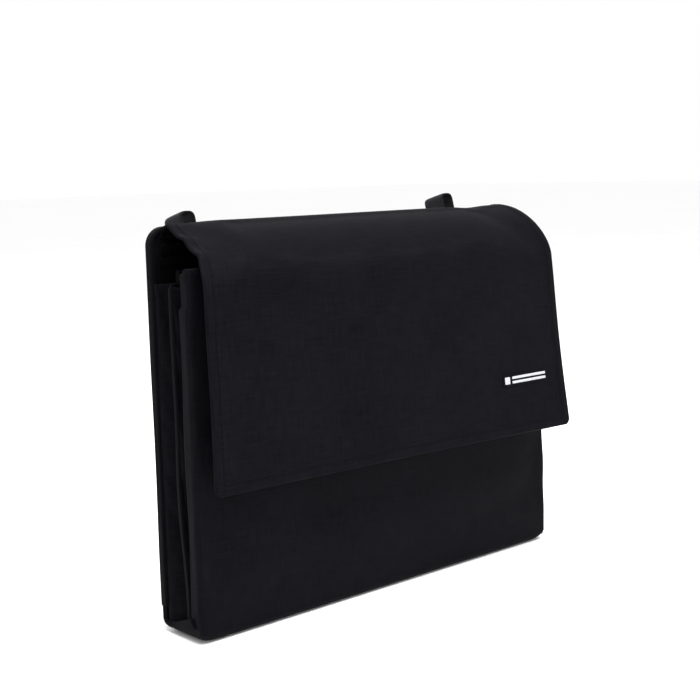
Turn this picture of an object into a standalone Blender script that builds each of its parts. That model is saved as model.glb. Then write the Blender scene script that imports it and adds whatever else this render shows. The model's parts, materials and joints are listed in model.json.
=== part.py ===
"""Slim flap-over changing bag: two gusseted compartments, a back slip pocket and two webbing loops.

The frame stands on the bag's base: X runs across the bag, -Y is the front, +Z is up, and the origin is
the middle of the base. Lengths are in metres, and each name that ends in _MM is in millimetres.
"""

import math

import bmesh
import bpy
from mathutils import Matrix, Vector

MM = 0.001

# Driving dimensions, in millimetres.
WIDTH_MM = 300.0  # body, side to side
BACK_MM = 20.0  # outer face of the back panel, measured back from the middle
FRONT_MM = -20.0  # outer face of the front panel
BACK_TOP_MM = 233.0
FRONT_TOP_MM = 216.0
DIVIDER_TOP_MM = 214.0
GUSSET_TOP_MM = 201.0
BASE_RADIUS_MM = 9.5
CLOTH_MM = 1.6
THIN_CLOTH_MM = 0.9
BOARD_MM = 1.5
GAP_MM = 0.3  # between pieces that touch

# The flap, from its crest over the shoulder to its lower edge.
CREST_Y_MM = 10.0
CREST_Z_MM = 241.0
SHOULDER_Y_MM = -33.0
SHOULDER_Z_MM = 204.0
FLAP_EDGE_Z_MM = 90.0
FLAP_EDGE_LEFT_Y_MM = -36.0
FLAP_EDGE_RIGHT_Y_MM = -48.0
FLAP_CREST_HALF_MM = 140.0
FLAP_EDGE_HALF_MM = 146.0
FOLD_ANGLE = math.radians(60)  # along the shoulder, where the front half folds

# Webbing loops.
LOOP_X_MM = 108.0
LOOP_Y_MM = 36.3
LOOP_Z_MM = 233.5
WEBBING_WIDTH_MM = 18.0
WEBBING_MM = 1.6
LOOP_SPAN_MM = 8.0
LOOP_HEIGHT_MM = 23.0
LOOP_LEAN = math.radians(15)

# Joint axes as (y, z). Every one of them runs along X.
DIVIDER_HINGE_MM = (0.6, 8.0)
FRONT_HINGE_MM = (-10.0, 10.0)
LIFT_HINGE_MM = (CREST_Y_MM, CREST_Z_MM + 0.2)
LOOP_HINGE_MM = (23.4, 225.0)


def clear_scene() -> None:
    """Remove everything that is in the scene."""
    for item in list(bpy.data.objects):
        bpy.data.objects.remove(item, do_unlink=True)


def material(name: str, colour: tuple, roughness: float, metallic: float = 0.0) -> bpy.types.Material:
    """A Principled material of one colour."""
    made = bpy.data.materials.new(name)
    made.use_nodes = True
    shader = made.node_tree.nodes["Principled BSDF"]
    shader.inputs["Base Color"].default_value = (*colour, 1.0)
    shader.inputs["Roughness"].default_value = roughness
    shader.inputs["Metallic"].default_value = metallic
    return made


def pivot(name: str, x_mm: float, y_mm: float, z_mm: float) -> bpy.types.Object:
    """An empty on a joint's axis, which carries the pieces that move about it."""
    empty = bpy.data.objects.new(name, None)
    empty.location = Vector((x_mm, y_mm, z_mm)) * MM
    bpy.context.scene.collection.objects.link(empty)
    return empty


def finish(mesh: bmesh.types.BMesh, name: str, finish_material, parent=None) -> bpy.types.Object:
    """Turn a mesh drawn in world millimetres into an object placed by its location and its parent."""
    bmesh.ops.recalc_face_normals(mesh, faces=mesh.faces)
    low = Vector([min(v.co[i] for v in mesh.verts) for i in range(3)])
    high = Vector([max(v.co[i] for v in mesh.verts) for i in range(3)])
    centre = (low + high) / 2
    place = centre * MM if parent is None else parent.location.copy()
    bmesh.ops.transform(mesh, matrix=Matrix.Scale(MM, 4), verts=mesh.verts)
    bmesh.ops.translate(mesh, vec=-place, verts=mesh.verts)
    data = bpy.data.meshes.new(name)
    mesh.to_mesh(data)
    mesh.free()
    data.shade_smooth()
    data.set_sharp_from_angle(angle=math.radians(35))
    data.materials.append(finish_material)
    made = bpy.data.objects.new(name, data)
    bpy.context.scene.collection.objects.link(made)
    if parent is None:
        made.location = place
    else:
        made.parent = parent
    return made


def arc(centre: tuple, radius: float, start: float, end: float, steps: int) -> list:
    """Points along an arc, given as (u, v) pairs, with its angles in degrees."""
    turns = [math.radians(start + (end - start) * i / steps) for i in range(steps + 1)]
    return [(centre[0] + radius * math.cos(a), centre[1] + radius * math.sin(a)) for a in turns]


def rounded_outline(half: float, low: float, high: float, low_radius: float, high_radius: float) -> list:
    """An upright rectangle about X = 0 with its corners rounded, as (x, z) pairs."""
    points = []
    points += arc((half - low_radius, low + low_radius), low_radius, -90, 0, 3)
    points += arc((half - high_radius, high - high_radius), high_radius, 0, 90, 4)
    points += arc((-half + high_radius, high - high_radius), high_radius, 90, 180, 4)
    points += arc((-half + low_radius, low + low_radius), low_radius, 180, 270, 3)
    return points


def panel(name, half, low, high, y_near, y_far, finish_material, parent=None, radius=5.0, low_radius=1.5):
    """A flat piece of cloth or board that stands across the bag, between two Y planes."""
    mesh = bmesh.new()
    outline = rounded_outline(half, low, high, low_radius, radius)
    near = [mesh.verts.new((x, y_near, z)) for x, z in outline]
    far = [mesh.verts.new((x, y_far, z)) for x, z in outline]
    mesh.faces.new(near)
    mesh.faces.new(list(reversed(far)))
    count = len(outline)
    for i in range(count):
        j = (i + 1) % count
        mesh.faces.new((near[j], near[i], far[i], far[j]))
    return finish(mesh, name, finish_material, parent)


def bar(name, low, high, finish_material, parent=None):
    """A tape or strip with softened long edges, between two corners."""
    mesh = bmesh.new()
    size = Vector(high) - Vector(low)
    middle = (Vector(high) + Vector(low)) / 2
    place = Matrix.Translation(middle) @ Matrix.Diagonal((*size, 1.0))
    bmesh.ops.create_cube(mesh, size=1.0, matrix=place)
    soften = 0.3 * min(size)
    bmesh.ops.bevel(mesh, geom=mesh.edges[:], offset=soften, segments=1, affect="EDGES")
    return finish(mesh, name, finish_material, parent)


def sheet(name, outer, inner, finish_material, parent=None):
    """A closed sheet between two grids of points, outer[row][column] and inner[row][column]."""
    mesh = bmesh.new()
    out_grid = [[mesh.verts.new(point) for point in row] for row in outer]
    in_grid = [[mesh.verts.new(point) for point in row] for row in inner]
    rows, columns = len(outer), len(outer[0])
    for i in range(rows - 1):
        for j in range(columns - 1):
            for grid in (out_grid, in_grid):
                a, b, c, d = grid[i][j], grid[i][j + 1], grid[i + 1][j + 1], grid[i + 1][j]
                # Every quad is split the same way, so that layers with a small gap stay apart.
                for corners in ((a, b, c), (a, c, d)):
                    mesh.faces.new(corners if grid is out_grid else corners[::-1])
    rim = [(0, j) for j in range(columns)]
    rim += [(i, columns - 1) for i in range(1, rows)]
    rim += [(rows - 1, j) for j in range(columns - 2, -1, -1)]
    rim += [(i, 0) for i in range(rows - 2, 0, -1)]
    for (a, b), (c, d) in zip(rim, rim[1:] + rim[:1]):
        mesh.faces.new((out_grid[c][d], out_grid[a][b], in_grid[a][b], in_grid[c][d]))
    return finish(mesh, name, finish_material, parent)


def offset_line(line: list, depth: float) -> list:
    """An open (u, v) line moved sideways by depth, to the right of the way it runs."""
    moved = []
    for i, point in enumerate(line):
        before = line[max(i - 1, 0)]
        after = line[min(i + 1, len(line) - 1)]
        along = Vector((after[0] - before[0], after[1] - before[1])).normalized()
        moved.append((point[0] + along.y * depth, point[1] - along.x * depth))
    return moved


def cloth_along_x(name, line, thickness, half, finish_material, parent=None):
    """A sheet whose (y, z) section line runs straight across the bag."""
    inner = offset_line(line, thickness)
    sides = (-half, half)
    outer_grid = [[(x, y, z) for x in sides] for y, z in line]
    inner_grid = [[(x, y, z) for x in sides] for y, z in inner]
    return sheet(name, outer_grid, inner_grid, finish_material, parent)


def smooth(t: float) -> float:
    """An ease from 0 to 1."""
    t = min(max(t, 0.0), 1.0)
    return t * t * (3 - 2 * t)


# --- The back, the base and the pieces that stand still ------------------------------------------------


def make_back(looks: dict) -> None:
    """Back panel with its board, its lining, its edge tapes and the facing inside the mouth."""
    half = WIDTH_MM / 2 - CLOTH_MM - GAP_MM
    low = BASE_RADIUS_MM + 5.0
    inner = BACK_MM - CLOTH_MM
    panel("back_panel", half, low, BACK_TOP_MM, inner, BACK_MM, looks["cloth"], radius=7.0)
    board_far = inner - GAP_MM
    board_near = board_far - BOARD_MM
    panel("back_board", half - 5, low, BACK_TOP_MM - 7, board_near, board_far, looks["board"])
    lining_far = board_near - GAP_MM
    lining_near = lining_far - THIN_CLOTH_MM
    panel("back_lining", half - 4, low, BACK_TOP_MM - 3, lining_near, lining_far, looks["lining"])
    facing_far = lining_near - GAP_MM
    facing_low = FRONT_TOP_MM + 1
    panel("mouth_facing", half - 5, facing_low, BACK_TOP_MM - 4, facing_far - 0.8, facing_far, looks["lining"])
    edge = WIDTH_MM / 2
    for side, sign in (("left", -1), ("right", 1)):
        near_x, far_x = sorted((sign * (edge - CLOTH_MM), sign * edge))
        bar(
            f"back_edge_binding_{side}",
            (near_x, BACK_MM - 5, low + GAP_MM),
            (far_x, BACK_MM, BACK_TOP_MM - 6),
            looks["tape"],
        )


def make_base(looks: dict) -> None:
    """The channel of cloth under the bag, with the board that keeps it flat."""
    radius = BASE_RADIUS_MM
    line = [(BACK_MM, radius + 4.6)]
    line += arc((BACK_MM - radius, radius), radius, 0, -90, 5)
    line += arc((FRONT_MM + radius, radius), radius, -90, -180, 5)
    line += [(FRONT_MM, FRONT_HINGE_MM[1])]
    cloth_along_x("bottom_panel", line, CLOTH_MM, WIDTH_MM / 2 - 0.8, looks["cloth"])
    board_low = CLOTH_MM + GAP_MM
    half = WIDTH_MM / 2 - 7
    bar("bottom_board", (-half, -10.5, board_low), (half, 10.5, board_low + BOARD_MM), looks["board"])


POCKET_TOP_MM = 212.0
POCKET_BOW_MM = 6.0
POCKET_HALF_MM = WIDTH_MM / 2 - 3


def pocket_bow(x: float, z: float) -> float:
    """How far the slip pocket stands off the back panel."""
    across = 1 - (abs(x) / POCKET_HALF_MM) ** 6
    up = smooth((z - 10) / 28)
    return GAP_MM + POCKET_BOW_MM * across * up


def pocket_layer(name, low, high, rows, clearance, thickness, finish_material):
    """A sheet that follows the slip pocket, at a clearance outside its inner face."""
    columns = 14
    inner = []
    outer = []
    for i in range(rows + 1):
        z = low + (high - low) * i / rows
        xs = [POCKET_HALF_MM * math.sin(math.pi * (j / columns - 0.5)) for j in range(columns + 1)]
        inner.append([(x, BACK_MM + pocket_bow(x, z) + clearance, z) for x in xs])
        outer.append([(x, BACK_MM + pocket_bow(x, z) + clearance + thickness, z) for x in xs])
    sheet(name, outer, inner, finish_material)


def make_back_pocket(looks: dict) -> None:
    """The slip pocket on the back, open along its top, and its folded binding."""
    pocket_layer("back_pocket_panel", BASE_RADIUS_MM + 5.3, POCKET_TOP_MM, 9, 0, 1.2, looks["cloth"])
    binding_low = POCKET_TOP_MM - 11
    clearance = 1.2 + GAP_MM
    pocket_layer("back_pocket_binding", binding_low, POCKET_TOP_MM, 1, clearance, 0.8, looks["tape"])


def make_flap_root(looks: dict) -> None:
    """The roll of cloth that carries the back panel over to the flap's crest."""
    reach = BACK_MM - CREST_Y_MM
    rise = CREST_Z_MM - BACK_TOP_MM - GAP_MM
    line = []
    for i in range(7):
        turn = math.radians(90 * i / 6)
        line.append((CREST_Y_MM + reach * math.cos(turn), BACK_TOP_MM + GAP_MM + rise * math.sin(turn)))
    line.reverse()
    cloth_along_x("flap_root", line, CLOTH_MM, FLAP_CREST_HALF_MM, looks["cloth"])


def make_gussets(looks: dict) -> None:
    """Two inward pleats on each side, one for each compartment."""
    edge = WIDTH_MM / 2 - 3.5
    depth = 11.0
    spans = {"rear": (14.6, 2.4), "front": (-1.0, -10.4)}
    for place, (start, end) in spans.items():
        for side, sign in (("left", -1), ("right", 1)):
            line = []
            for i in range(9):
                t = i / 8
                line.append((sign * (edge - depth * math.sin(math.pi * t)), start + (end - start) * t))
            inner = offset_line(line, 0.8)
            heights = (BASE_RADIUS_MM - 1, GUSSET_TOP_MM)
            outer_grid = [[(x, y, z) for z in heights] for x, y in line]
            inner_grid = [[(x, y, z) for z in heights] for x, y in inner]
            sheet(f"gusset_{place}_{side}", outer_grid, inner_grid, looks["cloth"])


def make_loop_tabs(looks: dict) -> None:
    """The stitched tabs that hold the webbing loops to the back panel."""
    half = 11.0
    for side, sign in (("left", -1), ("right", 1)):
        x = sign * LOOP_X_MM
        low = (x - half, BACK_MM + GAP_MM, POCKET_TOP_MM + 2.5)
        high = (x + half, BACK_MM + GAP_MM + 3.0, BACK_TOP_MM - 2)
        bar(f"strap_loop_tab_{side}", low, high, looks["webbing"])


# --- The divider and the front, which lean forward ------------------------------------------------------


def make_divider(looks: dict, parent) -> None:
    """The board between the two compartments, with its tapes."""
    half = WIDTH_MM / 2 - 4
    y_low, y_high = -0.2, 1.4
    top = DIVIDER_TOP_MM - 2
    panel("divider_panel", half, 7.0, top - GAP_MM, y_low, y_high, looks["lining"], parent, radius=4.0)
    bar(
        "divider_top_binding",
        (-half + 4, y_low - 0.4, top),
        (half - 4, y_high + 0.4, DIVIDER_TOP_MM),
        looks["tape"],
        parent,
    )
    for side, sign in (("left", -1), ("right", 1)):
        near_x, far_x = sorted((sign * (half + GAP_MM), sign * (half + 2.0)))
        low = (near_x, y_low - 0.4, 9.0)
        high = (far_x, y_high + 0.4, GUSSET_TOP_MM + 4)
        bar(f"divider_edge_binding_{side}", low, high, looks["tape"], parent)


def make_front(looks: dict, parent) -> None:
    """Front panel with its foam and lining, its side bands, its top tape and its half of the closure."""
    low = FRONT_HINGE_MM[1] + 2.3
    half = WIDTH_MM / 2 - CLOTH_MM - GAP_MM
    top = FRONT_TOP_MM - 1.8
    outer_far = FRONT_MM + CLOTH_MM
    panel("front_panel", half, low, top, FRONT_MM, outer_far, looks["cloth"], parent, radius=6.0)
    foam_near = outer_far + GAP_MM
    foam_far = foam_near + 3.0
    panel("front_foam", half - 4, low, top - 3, foam_near, foam_far, looks["foam"], parent)
    lining_near = foam_far + GAP_MM
    lining_far = lining_near + THIN_CLOTH_MM
    panel("front_lining", half - 3, low, top - 1, lining_near, lining_far, looks["lining"], parent)
    bar(
        "front_top_binding",
        (-half + 6, FRONT_MM, top + GAP_MM),
        (half - 6, lining_far, FRONT_TOP_MM),
        looks["tape"],
        parent,
    )
    edge = WIDTH_MM / 2
    for side, sign in (("left", -1), ("right", 1)):
        near_x, far_x = sorted((sign * (edge - CLOTH_MM), sign * edge))
        bar(
            f"front_side_band_{side}",
            (near_x, FRONT_MM + 1, low),
            (far_x, FRONT_MM + 9, top - 4),
            looks["cloth"],
            parent,
        )
    strip_far = FRONT_MM - GAP_MM
    bar("closure_loop_strip", (-45, strip_far - 1.0, 100), (45, strip_far, 122), looks["closure"], parent)


# --- The flap ---------------------------------------------------------------------------------------------


def flap_section(turn: float, drop: float) -> tuple:
    """A point of the flap's outer line and its outward normal, as (y, z) pairs.

    turn goes from 0 at the crest to a right angle at the shoulder, and drop is the length below it.
    """
    reach = CREST_Y_MM - SHOULDER_Y_MM
    rise = CREST_Z_MM - SHOULDER_Z_MM
    point = (CREST_Y_MM - reach * math.sin(turn), SHOULDER_Z_MM + rise * math.cos(turn) - drop)
    normal = Vector((-rise * math.sin(turn), reach * math.cos(turn))).normalized()
    return point, normal


def flap_point(x_part: float, turn: float, drop: float, depth: float) -> tuple:
    """A point of the flap at x_part from -1 to 1 across it, at a depth under its outer face."""
    (y, z), normal = flap_section(turn, drop)
    fall = SHOULDER_Z_MM - FLAP_EDGE_Z_MM
    across = (x_part + 1) / 2
    edge_y = FLAP_EDGE_LEFT_Y_MM + (FLAP_EDGE_RIGHT_Y_MM - FLAP_EDGE_LEFT_Y_MM) * across**1.5
    y += (edge_y - SHOULDER_Y_MM) * drop / fall
    spread = (CREST_Z_MM - z) / (CREST_Z_MM - SHOULDER_Z_MM)
    half = FLAP_CREST_HALF_MM + (FLAP_EDGE_HALF_MM - FLAP_CREST_HALF_MM) * smooth(spread)
    return (half * x_part, y - normal.x * depth, z - normal.y * depth)


def flap_layer(name, stations, x_parts, near, far, finish_material, parent):
    """A layer of the flap between two depths, along a list of (turn, drop) stations."""
    outer = [[flap_point(x, turn, drop, near) for x in x_parts] for turn, drop in stations]
    inner = [[flap_point(x, turn, drop, far) for x in x_parts] for turn, drop in stations]
    return sheet(name, outer, inner, finish_material, parent)


def spread_parts(count: int, reach: float = 1.0) -> list:
    """Even places across the flap, from -reach to reach."""
    return [reach * (2 * i / count - 1) for i in range(count + 1)]


def make_flap_top(looks: dict, parent) -> None:
    """The back half of the flap: outer cloth and lining, from the crest to the fold."""
    start = math.asin(1.0 / (CREST_Y_MM - SHOULDER_Y_MM))
    end = FOLD_ANGLE - 0.02
    stations = [(start + (end - start) * i / 7, 0.0) for i in range(8)]
    sides = [-1.0, 1.0]
    flap_layer("flap_top_shell", stations, sides, 0.0, 1.4, looks["cloth"], parent)
    narrow = [-0.98, 0.98]
    flap_layer("flap_top_lining", stations, narrow, 1.7, 2.6, looks["lining"], parent)


def make_flap_front(looks: dict, parent) -> None:
    """The front half of the flap: outer cloth, board, lining, label and its half of the closure."""
    fall = SHOULDER_Z_MM - FLAP_EDGE_Z_MM
    quarter = math.pi / 2
    start = FOLD_ANGLE + 0.02
    bend = [(start + (quarter - start) * i / 3, 0.0) for i in range(4)]
    down = [(quarter, fall * i / 4) for i in range(1, 5)]
    columns = spread_parts(8)
    flap_layer("flap_front_shell", bend + down, columns, 0.0, 1.4, looks["cloth"], parent)
    board = [(quarter, drop) for drop in (4.0, 28.0, 56.0, 82.0, fall - 6)]
    narrow = spread_parts(8, 0.96)
    flap_layer("flap_board", board, narrow, 1.7, 3.2, looks["board"], parent)
    lining = [(quarter, drop) for drop in (2.0, 28.0, 56.0, 82.0, fall - 3)]
    flap_layer("flap_front_lining", lining, spread_parts(8, 0.98), 3.5, 4.4, looks["lining"], parent)
    strip = [(quarter, SHOULDER_Z_MM - z) for z in (122.0, 101.0)]
    flap_layer("closure_hook_strip", strip, spread_parts(4, 0.3), 4.9, 5.9, looks["closure"], parent)
    label = [(quarter, SHOULDER_Z_MM - z) for z in (131.5, 123.5)]
    places = [0.59 + 0.3 * i / 4 for i in range(5)]
    flap_layer("woven_label", label, places, -0.9, -0.4, looks["label"], parent)


# --- The webbing loops ------------------------------------------------------------------------------------


def loop_line(half: float, low: float, high: float) -> list:
    """The closed (x, z) line of a loop: a round top on straight legs, with a tight turn at its foot."""
    foot = 1.5
    points = arc((0, high - half), half, 0, 180, 8)
    points += arc((-half + foot, low + foot), foot, 180, 270, 3)
    points += arc((half - foot, low + foot), foot, 270, 360, 3)
    return points


def make_loop(side: str, sign: int, looks: dict, parent) -> None:
    """One loop of webbing, whose way through runs from front to back."""
    half = LOOP_SPAN_MM / 2
    tall = LOOP_HEIGHT_MM / 2
    inner = loop_line(half, -tall + WEBBING_MM, tall - WEBBING_MM)
    outer = loop_line(half + WEBBING_MM, -tall, tall)
    place = Matrix.Translation((sign * LOOP_X_MM, LOOP_Y_MM, LOOP_Z_MM)) @ Matrix.Rotation(-LOOP_LEAN, 4, "X")
    mesh = bmesh.new()
    rings = []
    for (xi, zi), (xo, zo) in zip(inner, outer):
        corners = []
        for x, y, z in ((xo, -1, zo), (xo, 1, zo), (xi, 1, zi), (xi, -1, zi)):
            corners.append(mesh.verts.new(place @ Vector((x, y * WEBBING_WIDTH_MM / 2, z))))
        rings.append(corners)
    for ring, after in zip(rings, rings[1:] + rings[:1]):
        for k in range(4):
            n = (k + 1) % 4
            mesh.faces.new((ring[k], ring[n], after[n], after[k]))
    finish(mesh, f"strap_loop_{side}", looks["webbing"], parent)


def main() -> None:
    """Build the whole bag at rest."""
    clear_scene()
    looks = {
        "cloth": material("cloth", (0.012, 0.012, 0.015), 0.85),
        "lining": material("lining", (0.016, 0.016, 0.018), 0.9),
        "tape": material("tape", (0.01, 0.01, 0.012), 0.7),
        "webbing": material("webbing", (0.013, 0.013, 0.015), 0.75),
        "foam": material("foam", (0.05, 0.05, 0.055), 0.95),
        "board": material("board", (0.03, 0.03, 0.03), 0.6),
        "closure": material("closure", (0.01, 0.01, 0.01), 0.95),
        "label": material("label", (0.45, 0.45, 0.47), 0.7),
    }
    make_back(looks)
    make_base(looks)
    make_back_pocket(looks)
    make_flap_root(looks)
    make_gussets(looks)
    make_loop_tabs(looks)
    make_divider(looks, pivot("divider_axis", 0, *DIVIDER_HINGE_MM))
    make_front(looks, pivot("front_axis", 0, *FRONT_HINGE_MM))
    make_flap_top(looks, pivot("flap_lift_axis", 0, *LIFT_HINGE_MM))
    (fold_y, fold_z), _ = flap_section(FOLD_ANGLE, 0.0)
    make_flap_front(looks, pivot("flap_fold_axis", 0, fold_y, fold_z))
    for side, sign in (("left", -1), ("right", 1)):
        make_loop(side, sign, looks, pivot(f"loop_axis_{side}", sign * LOOP_X_MM, *LOOP_HINGE_MM))


main()
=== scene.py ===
"""Looks of the slim flap-over changing bag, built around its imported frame.

Each sub-assembly of the bag is a class with its sizes in millimetres as fields. Cloth is worked out as a
grid of points on a surface, settled by a short cloth simulation between the lines where it is sewn, and
then given its thickness, its hems and its weave. Stitches and hooks are placed by Geometry Nodes.
"""

from __future__ import annotations

import json
import logging
import math
from dataclasses import dataclass, field
from enum import Enum
from typing import Callable

import bpy
import numpy as np
from mathutils import Matrix, Vector

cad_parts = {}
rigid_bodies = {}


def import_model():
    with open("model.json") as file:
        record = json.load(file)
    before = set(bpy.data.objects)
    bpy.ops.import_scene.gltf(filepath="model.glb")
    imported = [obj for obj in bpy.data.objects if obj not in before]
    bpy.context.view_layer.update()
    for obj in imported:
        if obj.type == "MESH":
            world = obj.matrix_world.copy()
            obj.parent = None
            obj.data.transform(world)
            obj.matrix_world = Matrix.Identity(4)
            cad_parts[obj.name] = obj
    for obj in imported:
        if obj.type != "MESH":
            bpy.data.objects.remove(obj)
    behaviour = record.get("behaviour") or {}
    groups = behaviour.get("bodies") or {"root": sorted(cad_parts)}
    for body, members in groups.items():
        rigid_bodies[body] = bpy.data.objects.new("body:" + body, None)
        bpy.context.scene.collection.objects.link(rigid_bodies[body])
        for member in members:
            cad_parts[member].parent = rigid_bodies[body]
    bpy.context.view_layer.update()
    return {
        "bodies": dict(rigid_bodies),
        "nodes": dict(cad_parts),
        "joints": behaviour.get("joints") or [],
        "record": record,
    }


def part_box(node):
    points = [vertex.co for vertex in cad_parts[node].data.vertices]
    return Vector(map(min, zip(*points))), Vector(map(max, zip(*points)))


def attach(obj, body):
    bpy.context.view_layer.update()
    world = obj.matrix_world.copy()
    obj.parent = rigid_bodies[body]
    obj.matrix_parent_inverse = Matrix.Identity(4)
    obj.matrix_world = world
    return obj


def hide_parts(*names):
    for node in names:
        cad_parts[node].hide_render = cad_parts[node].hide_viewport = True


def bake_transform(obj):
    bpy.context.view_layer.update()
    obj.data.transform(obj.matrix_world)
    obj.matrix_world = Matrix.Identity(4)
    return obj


LOG = logging.getLogger("changing_bag")
MM = 0.001
WEAVE_MAP = "weave"
FORWARD, BACKWARD = (0.0, -1.0, 0.0), (0.0, 1.0, 0.0)
SHARP_DEGREES = 52.0
TAPE_POINTS = 20  # round a tape's section
TAPE_SQUARE = 0.42  # how square that section is: 1 makes an ellipse, and less squares it off
# Millimetres from a hem's edge: its stitches, the end of its folded cloth, and its rows of points.
HEM_LINE = 4.8
HEM_FOLD = 7.0
HEM_PLACES = (0.0, 0.7, 1.6, 2.6, 3.5, 4.2, 4.7, 5.2, 5.8, 6.8, 8.0, 10.0)
Triple = tuple[float, float, float]
Socket = bpy.types.NodeSocket
Surface = Callable[[np.ndarray, np.ndarray], np.ndarray]


class Side(Enum):
    """A side of the bag, with its sign along X."""

    LEFT = -1
    RIGHT = 1

    @property
    def word(self) -> str:
        """The side's name as node names spell it."""
        return self.name.lower()


class Slot(Enum):
    """The record's material slots."""

    CLOTH = "cloth"
    LINING = "lining"
    TAPE = "tape"
    WEBBING = "webbing"
    CLOSURE = "closure"
    LABEL = "label"


# --- Sizes from the CAD nodes, and sums on grids of points ---


def cad(node: str, end: int, axis: int, more: float = 0.0) -> float:
    """A dataclass field that reads one face of a CAD node's box when its class is made.

    Args:
        node: the node's name.
        end: 0 for the box's low corner, 1 for its high one.
        axis: 0, 1 or 2 for X, Y or Z.
        more: what is added, in millimetres.

    Returns:
        The field, whose value is in millimetres.
    """
    return field(default_factory=lambda: round(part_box(node)[end][axis] / MM, 3) + more)


def smoothstep(t: np.ndarray | float) -> np.ndarray:
    """Ease from 0 to 1 with level ends."""
    t = np.clip(t, 0.0, 1.0)
    return t * t * (3 - 2 * t)


def hump(t: np.ndarray | float, centre: float, width: float) -> np.ndarray:
    """A bell of height 1 about centre."""
    return np.exp(-(((t - centre) / width) ** 2))


def unit(vectors: np.ndarray) -> np.ndarray:
    """Vectors scaled to length 1."""
    return vectors / np.maximum(np.linalg.norm(vectors, axis=-1, keepdims=True), 1e-12)


def grid_quads(grid: np.ndarray, outward: Triple) -> tuple[np.ndarray, bool]:
    """The quads of a grid of points, turned so that they face outward.

    Args:
        grid: points as rows by columns by 3.
        outward: a direction that the middle of the sheet faces.

    Returns:
        The quads, and whether they had to be turned.
    """
    rows, columns = grid.shape[:2]
    index = np.arange(rows * columns).reshape(rows, columns)
    quads = np.stack([index[:-1, :-1], index[1:, :-1], index[1:, 1:], index[:-1, 1:]], axis=-1)
    across = np.cross(np.gradient(grid, axis=0), np.gradient(grid, axis=1))
    turn = bool(across[rows // 2, columns // 2] @ np.array(outward) < 0)
    return quads.reshape(-1, 4)[:, :: -1 if turn else 1], turn


def normals_of(grid: np.ndarray, outward: Triple) -> np.ndarray:
    """Unit normals of a grid of points that looks outward, of the grid's shape."""
    across = unit(np.cross(np.gradient(grid, axis=0), np.gradient(grid, axis=1)))
    return -across if grid_quads(grid, outward)[1] else across


def resample(field: np.ndarray, rows: np.ndarray, columns: np.ndarray) -> np.ndarray:
    """Read a coarse field at finer places, with a smooth cubic between its points.

    Args:
        field: values as rows by columns by channels.
        rows: places down the field, from 0 to 1.
        columns: places across the field, from 0 to 1.

    Returns:
        The values at each pair of places.
    """

    def along(values: np.ndarray, places: np.ndarray) -> np.ndarray:
        """One cubic pass down the first axis.

        Args:
            values: the field.
            places: the new places, from 0 to 1.

        Returns:
            The values at the new places.
        """
        last = len(values) - 1
        at = np.clip(places, 0, 1) * last
        low = np.minimum(at.astype(int), last - 1)
        t = (at - low)[:, None, None]
        p0, p1 = values[np.maximum(low - 1, 0)], values[low]
        p2, p3 = values[low + 1], values[np.minimum(low + 2, last)]
        bend, twist = 2 * p0 - 5 * p1 + 4 * p2 - p3, 3 * p1 - p0 - 3 * p2 + p3
        return 0.5 * (2 * p1 + (p2 - p0) * t + bend * t**2 + twist * t**3)

    return along(along(field, rows).swapaxes(0, 1), columns).swapaxes(0, 1)


def places_between(length: float, step: float, fine: tuple[bool, bool] = (True, True)) -> np.ndarray:
    """Places from 0 to length, closer together near the ends that have a hem.

    Args:
        length: how far the places run, in millimetres.
        step: their usual distance.
        fine: whether the start and the end have a hem.

    Returns:
        The places in millimetres.
    """
    start = list(HEM_PLACES) if fine[0] else [0.0]
    end = [length - place for place in reversed(HEM_PLACES)] if fine[1] else [length]
    count = max(2, round((end[0] - start[-1]) / step))
    middle = np.linspace(start[-1], end[0], count + 1)[1:-1]
    return np.concatenate([start, middle, end])


def edge_hem(distance: np.ndarray, raise_mm: float = 0.32) -> np.ndarray:
    """How proud a turned hem stands at a distance from its edge, with the sunk line of its stitches.

    Args:
        distance: how far places are from the edge, in millimetres.
        raise_mm: how far the folded cloth stands off, in millimetres.

    Returns:
        The offsets, in millimetres.
    """
    fold = raise_mm * smoothstep((HEM_FOLD - distance) / 1.4)
    sunk = 0.16 * hump(distance, HEM_LINE, 0.6)
    return fold - sunk


def rounded_panel(down: np.ndarray, over: np.ndarray, half: float, top: float, corner: float) -> tuple:
    """A flat panel whose two top corners are rounded.

    Args:
        down: places down from its top edge, in millimetres.
        over: places across it, from 0 to twice its half width.
        half: half its width.
        top: the height of its top edge.
        corner: its corners' radius.

    Returns:
        The x and z of each place, in millimetres.
    """
    drop, place = np.meshgrid(down, over - half, indexing="ij")
    side, end = corner_cut(half - np.abs(place), drop, corner)
    return np.sign(place) * (np.abs(place) - side), top - drop - end


def corner_cut(side_gap: np.ndarray, end_gap: np.ndarray, corner: float) -> tuple[np.ndarray, np.ndarray]:
    """How far places near a corner move in from its side and its end to round it."""
    a, b = (np.clip(1 - gap / corner, 0, 1) for gap in (side_gap, end_gap))
    return tuple(one * (1 - np.sqrt(1 - other * other / 2)) * corner for one, other in ((a, b), (b, a)))


def index_of(place: np.ndarray | float, places: np.ndarray) -> np.ndarray:
    """Where a place falls among places, as a fractional index."""
    return np.interp(place, places, np.arange(len(places)))


def row_line(
    grid: np.ndarray, normals: np.ndarray, down: np.ndarray, place: float, lift: float
) -> np.ndarray:
    """The line across a sheet at one place down it.

    Args:
        grid: the sheet's points.
        normals: its unit normals.
        down: the places of its rows, in millimetres.
        place: the line's place.
        lift: how far the line stands off the sheet, in millimetres.

    Returns:
        The line's points.
    """
    at = float(index_of(place, down))
    low = min(int(at), len(grid) - 2)
    raised = grid + normals * lift * MM
    return raised[low] * (1 - (at - low)) + raised[low + 1] * (at - low)


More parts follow.
